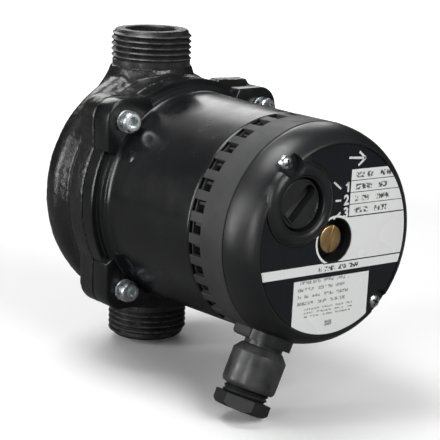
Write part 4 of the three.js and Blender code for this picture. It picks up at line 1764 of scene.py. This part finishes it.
    def numeral(self, sign: str, x: float, z: float) -> Piece:
        """Builds one numeral standing on the foil.

        Args:
            sign: the numeral.
            x: its left edge, mm.
            z: its foot, mm.

        Returns:
            The numeral.
        """
        curve = bpy.data.curves.new("numeral", "FONT")
        curve.body = sign
        curve.size = 5.2 * MM
        curve.extrude = 0.06 * MM
        curve.offset = 0.2 * MM
        drawn = bpy.data.objects.new("numeral", curve)
        bpy.context.scene.collection.objects.link(drawn)
        graph = bpy.context.evaluated_depsgraph_get()
        mesh = bpy.data.meshes.new_from_object(drawn.evaluated_get(graph))
        bpy.data.objects.remove(drawn)
        place = Matrix.Translation((x * MM, (self.label_front + 0.03) * MM, z * MM))
        mesh.transform(place @ Matrix.Rotation(math.radians(90), 4, "X"))
        made = bpy.data.objects.new("numeral", mesh)
        bpy.context.scene.collection.objects.link(made)
        return made

    def build(self) -> None:
        """Makes and dresses the box, the foil and the two cover screws."""
        dress(self.base(), BASE_PLASTIC, "pump", "base_plastic", "terminal_base")
        dress(self.teeth(), BASE_PLASTIC, "pump", "base_plastic")
        dress(self.ribs(), BASE_PLASTIC, "pump", "base_plastic")
        dress(self.cover(), COVER_PLASTIC, "pump", "cover_plastic", "terminal_cover")
        dress(self.foil(), FOIL, "pump", "label", "name_plate")
        dress(self.print_marks(), WHITE_INK, "pump", "label")
        for index, (place, turn) in enumerate(zip(self.screws, self.screw_turns_deg), start=1):
            PanScrew(*place, turn).build(f"cover_screw_head_{index}", f"cover_screw_{index}")


@dataclass
class Selector:
    """The speed selector knob with its screwdriver slot."""

    radius: float = 9.4
    face: float = -115.4
    slot_turn_deg: float = 43.4
    slot_width: float = 5.3
    knurls: int = 72

    def build(self) -> None:
        """Makes and dresses the knob."""
        r, face = self.radius, self.face
        place = motor_axis(KNOB_X, KNOB_Z)
        profile = [
            (0, -109.9), (r - 0.25, -109.9), (r - 0.25, face + 0.5), (r - 0.45, face + 0.1), (r - 0.75, face),
            (r - 1.0, face + 0.05), (r - 1.15, face + 0.45), (r - 1.5, face + 0.5), (0, face + 0.35),
        ]
        made = Maker.lathe("selector_disc", profile, place, 144)
        half, wide = r - 1.6, self.slot_width / 2
        mouth = [(-half, -wide), *arc(half - 2.0, 0, wide, -70, 70, 6), (-half, wide)]
        outline = turned(mouth, self.slot_turn_deg, KNOB_X, KNOB_Z)
        slot = Maker.prism("slot", outline, motor_axis(), face + 4.2, face - 2)
        Maker.combine(made, [slot])
        Maker.round_edges(made, 0.28, 2, 45)
        bridge = rectangle(-half + 0.2, -wide - 0.1, -half + 1.0, wide + 0.1)
        lip = turned(bridge, self.slot_turn_deg, KNOB_X, KNOB_Z)
        pointer = Maker.prism("pointer", lip, motor_axis(), face + 2.8, face + 0.2)
        Maker.round_edges(pointer, 0.3, 2, 30)
        ridge = [(r - 0.4, -0.13), (r - 0.08, 0), (r - 0.4, 0.13)]
        tooth = Maker.prism("tooth", ridge, motor_axis(), -110.2, face + 0.45)
        Patterns.run(tooth, Patterns.ring_tree(), KNOB_PLASTIC, Count=self.knurls)
        tooth.data.transform(Matrix.Translation((KNOB_X * MM, 0, KNOB_Z * MM)))
        stem = Maker.rod("stem", 2.6, place, -107.4, -110, 32)
        Maker.join(made, [tooth, stem, pointer])
        dress(Maker.shade(made, 35), KNOB_PLASTIC, "selector", "knob_plastic", "selector_knob")


@dataclass
class Vent:
    """The brass vent screw in the middle of the label."""

    radius: float = 5.25
    face: float = -113.2
    slot_turn_deg: float = 76.0
    slot_half_width: float = 0.65
    slot_depth: float = 0.6

    def build(self) -> None:
        """Makes and dresses the vent screw."""
        r, face = self.radius, self.face
        profile = [
            (0, -92.7), (2.9, -92.7), (2.9, -95.4), (r, -95.4), (r, face + 0.5), (r - 0.15, face + 0.15),
            (r - 0.45, face), (0, face),
        ]
        made = Maker.lathe("vent_plug", profile, motor_axis(), 96)
        outline = turned(rectangle(-8, -self.slot_half_width, 8, self.slot_half_width), self.slot_turn_deg)
        slot = Maker.prism("slot", outline, motor_axis(), face + self.slot_depth, face - 1)
        Maker.combine(made, [slot])
        Maker.round_edges(made, 0.12, 2, 40)
        dress(Maker.shade(made, 35), BRASS, "vent", "brass", "vent_screw")


@dataclass
class HiddenParts:
    """The CAD pieces that keep their own shape, with the finish of each material slot."""

    finishes: dict[str, Finish] = field(
        default_factory=lambda: {
            "casing": CAST_SKIN, "housing": MOTOR_PAINT, "base_plastic": BASE_PLASTIC,
            "cover_plastic": COVER_PLASTIC, "knob_plastic": KNOB_PLASTIC, "gland_plastic": GLAND_PLASTIC,
            "label": FOIL, "zinc": ZINC, "brass": BRASS, "stainless": STAINLESS, "lamination": LAMINATION,
            "copper": COPPER, "ceramic": CERAMIC, "carbon": CARBON, "rubber": RUBBER, "composite": COMPOSITE,
            "capacitor": CASE_WHITE,
        }
    )

    def build(self) -> None:
        """Dresses every CAD node by the slot that the record gives it."""
        slots = {entry["node"]: entry["material_slot"] for entry in frame["record"]["subparts"]}
        for name, node in frame["nodes"].items():
            finish = self.finishes[slots[name]]
            for holder in node.material_slots:
                holder.material = finish.material()
            LOG.info("%s keeps its CAD shape, finish %s", name, finish.name)


# --- studio ----------------------------------------------------------------------------------------


@dataclass(frozen=True)
class SoftBox:
    """One rectangular studio light: where it stands, what it looks at, its size and power."""

    name: str
    place: tuple[float, float, float]
    target: tuple[float, float, float]
    size: Pair
    power: float
    colour: Colour = (1.0, 1.0, 1.0)

    def build(self) -> None:
        """Makes the light."""
        lamp = bpy.data.lights.new(self.name, "AREA")
        lamp.shape = "RECTANGLE"
        lamp.size, lamp.size_y = self.size
        lamp.energy = self.power
        lamp.color = self.colour
        made = bpy.data.objects.new(self.name, lamp)
        bpy.context.scene.collection.objects.link(made)
        here = Vector(self.place)
        aim = (Vector(self.target) - here).to_track_quat("-Z", "Y")
        made.matrix_world = Matrix.Translation(here) @ aim.to_matrix().to_4x4()


@dataclass
class Studio:
    """Floor, lights and camera."""

    lens: float = 123.16
    eye: tuple[float, float, float] = (-0.36554, -0.50296, 0.13520)
    right: tuple[float, float, float] = (0.78317, -0.62119, 0.02763)
    upward: tuple[float, float, float] = (0.12547, 0.20140, 0.97144)
    backward: tuple[float, float, float] = (-0.60901, -0.75734, 0.23567)
    ambient: float = 0.14
    floor_half: float = 3.2
    floor_rise: float = 0.9
    wall_top: float = 3.5
    floor_turn_deg: float = -38.8
    floor_grey: Pair = (0.16, 0.96)
    glow_reach: Pair = (0.3, 1.2)
    boxes: tuple[SoftBox, ...] = (
        SoftBox("back_box", (0.42, 0.76, 0.5), (0.0, -0.05, 0.02), (0.85, 0.4), 3.4),
        SoftBox("overhead_box", (-0.15, 0.15, 0.85), (0.0, -0.05, 0.0), (0.5, 0.4), 4.5),
        SoftBox("back_strip", (-0.91, 0.4, 0.0), (-0.03, 0.0, 0.0), (0.18, 1.1), 6.5),
        SoftBox("side_strip", (-0.9, -0.42, 0.04), (0.0, -0.09, 0.0), (0.09, 0.8), 3.4),
        SoftBox("left_fill", (-0.95, 0.05, 0.4), (0.0, -0.09, 0.0), (0.4, 0.4), 1.2),
        SoftBox("front_box", (0.0, -1.05, 0.6), (0.0, -0.08, 0.0), (0.7, 0.5), 8.5),
    )

    def floor(self) -> Piece:
        """Builds a floor that runs up into a far wall, white to the camera and dim in reflections.

        Returns:
            The floor.
        """
        low = min(corner[2] for corner in CAD_BOUNDS)
        bm = bmesh.new()
        size, rise, steps = self.floor_half, self.floor_rise, 10
        line = [(-size, 0.0), (size - rise, 0.0)]
        for angle in (i * math.pi / 2 / steps for i in range(1, steps + 1)):
            line.append((size - rise + rise * math.sin(angle), rise - rise * math.cos(angle)))
        line.append((size, self.wall_top))
        rows = [[bm.verts.new((x, y, low + z)) for y, z in line] for x in (-size * 2, size * 2)]
        for i in range(len(line) - 1):
            bm.faces.new([rows[0][i], rows[1][i], rows[1][i + 1], rows[0][i + 1]])
        made = Maker.wrap("studio_floor", bm)
        made.data.transform(Matrix.Rotation(math.radians(self.floor_turn_deg), 4, "Z"))
        paper = bpy.data.materials.new("studio_paper")
        paper.use_nodes = True
        wires = Wiring(paper.node_tree)
        seen = wires.node("ShaderNodeLightPath").outputs["Is Camera Ray"]
        shader = paper.node_tree.nodes["Principled BSDF"]
        dim, bright = self.floor_grey
        pale = wires.blend(seen, rgba((dim, dim, dim)), rgba((bright, bright, bright)))
        wires.tree.links.new(pale, shader.inputs["Base Color"])
        place = wires.node("ShaderNodeTexCoord").outputs["Object"]
        glow = wires.math("MULTIPLY", seen, wires.span(wires.length(place), *self.glow_reach, 0.0, 1.0))
        wires.tree.links.new(glow, shader.inputs["Emission Strength"])
        shader.inputs["Emission Color"].default_value = (1.0, 1.0, 1.0, 1.0)
        shader.inputs["Roughness"].default_value = 1.0
        shader.inputs["Specular IOR Level"].default_value = 0.0
        made.data.materials.append(paper)
        return made

    def camera(self) -> Piece:
        """Sets the camera to the left of the front, a little above the object.

        Returns:
            The camera.
        """
        lens = bpy.data.cameras.new("studio_camera")
        lens.lens = self.lens
        lens.sensor_width = 36.0
        lens.clip_start = 0.01
        lens.clip_end = 20.0
        made = bpy.data.objects.new("studio_camera", lens)
        bpy.context.scene.collection.objects.link(made)
        turn = Matrix((self.right, self.upward, self.backward)).transposed().to_4x4()
        made.matrix_world = Matrix.Translation(self.eye) @ turn
        bpy.context.scene.camera = made
        return made

    def build(self) -> None:
        """Makes the studio."""
        self.camera()
        self.floor()
        for box in self.boxes:
            box.build()
        world = bpy.data.worlds.new("studio_world")
        world.use_nodes = True
        wires = Wiring(world.node_tree)
        seen = wires.node("ShaderNodeLightPath").outputs["Is Camera Ray"]
        sky = world.node_tree.nodes["Background"]
        sky.inputs[0].default_value = (1.0, 1.0, 1.0, 1.0)
        wires.tree.links.new(wires.span(seen, 0.0, 1.0, self.ambient, 1.0), sky.inputs[1])
        bpy.context.scene.world = world
        bpy.context.scene.view_settings.view_transform = "Standard"


def main() -> None:
    """Builds the studio and every sub-assembly in order."""
    logging.basicConfig(level=logging.INFO, format="%(name)s %(message)s")
    gland = Gland()
    parts: list[tuple[str, Callable[[], None]]] = [
        ("studio", Studio().build),
        ("hidden parts", HiddenParts().build),
        ("casing", Casing().build),
        ("motor housing", MotorHousing().build),
        ("terminal box", TerminalBox(gland).build),
        ("gland", gland.build),
        ("selector", Selector().build),
        ("vent", Vent().build),
    ]
    for title, build in parts:
        build()
        LOG.info("%s done", title)


if __name__ == "__main__":
    main()
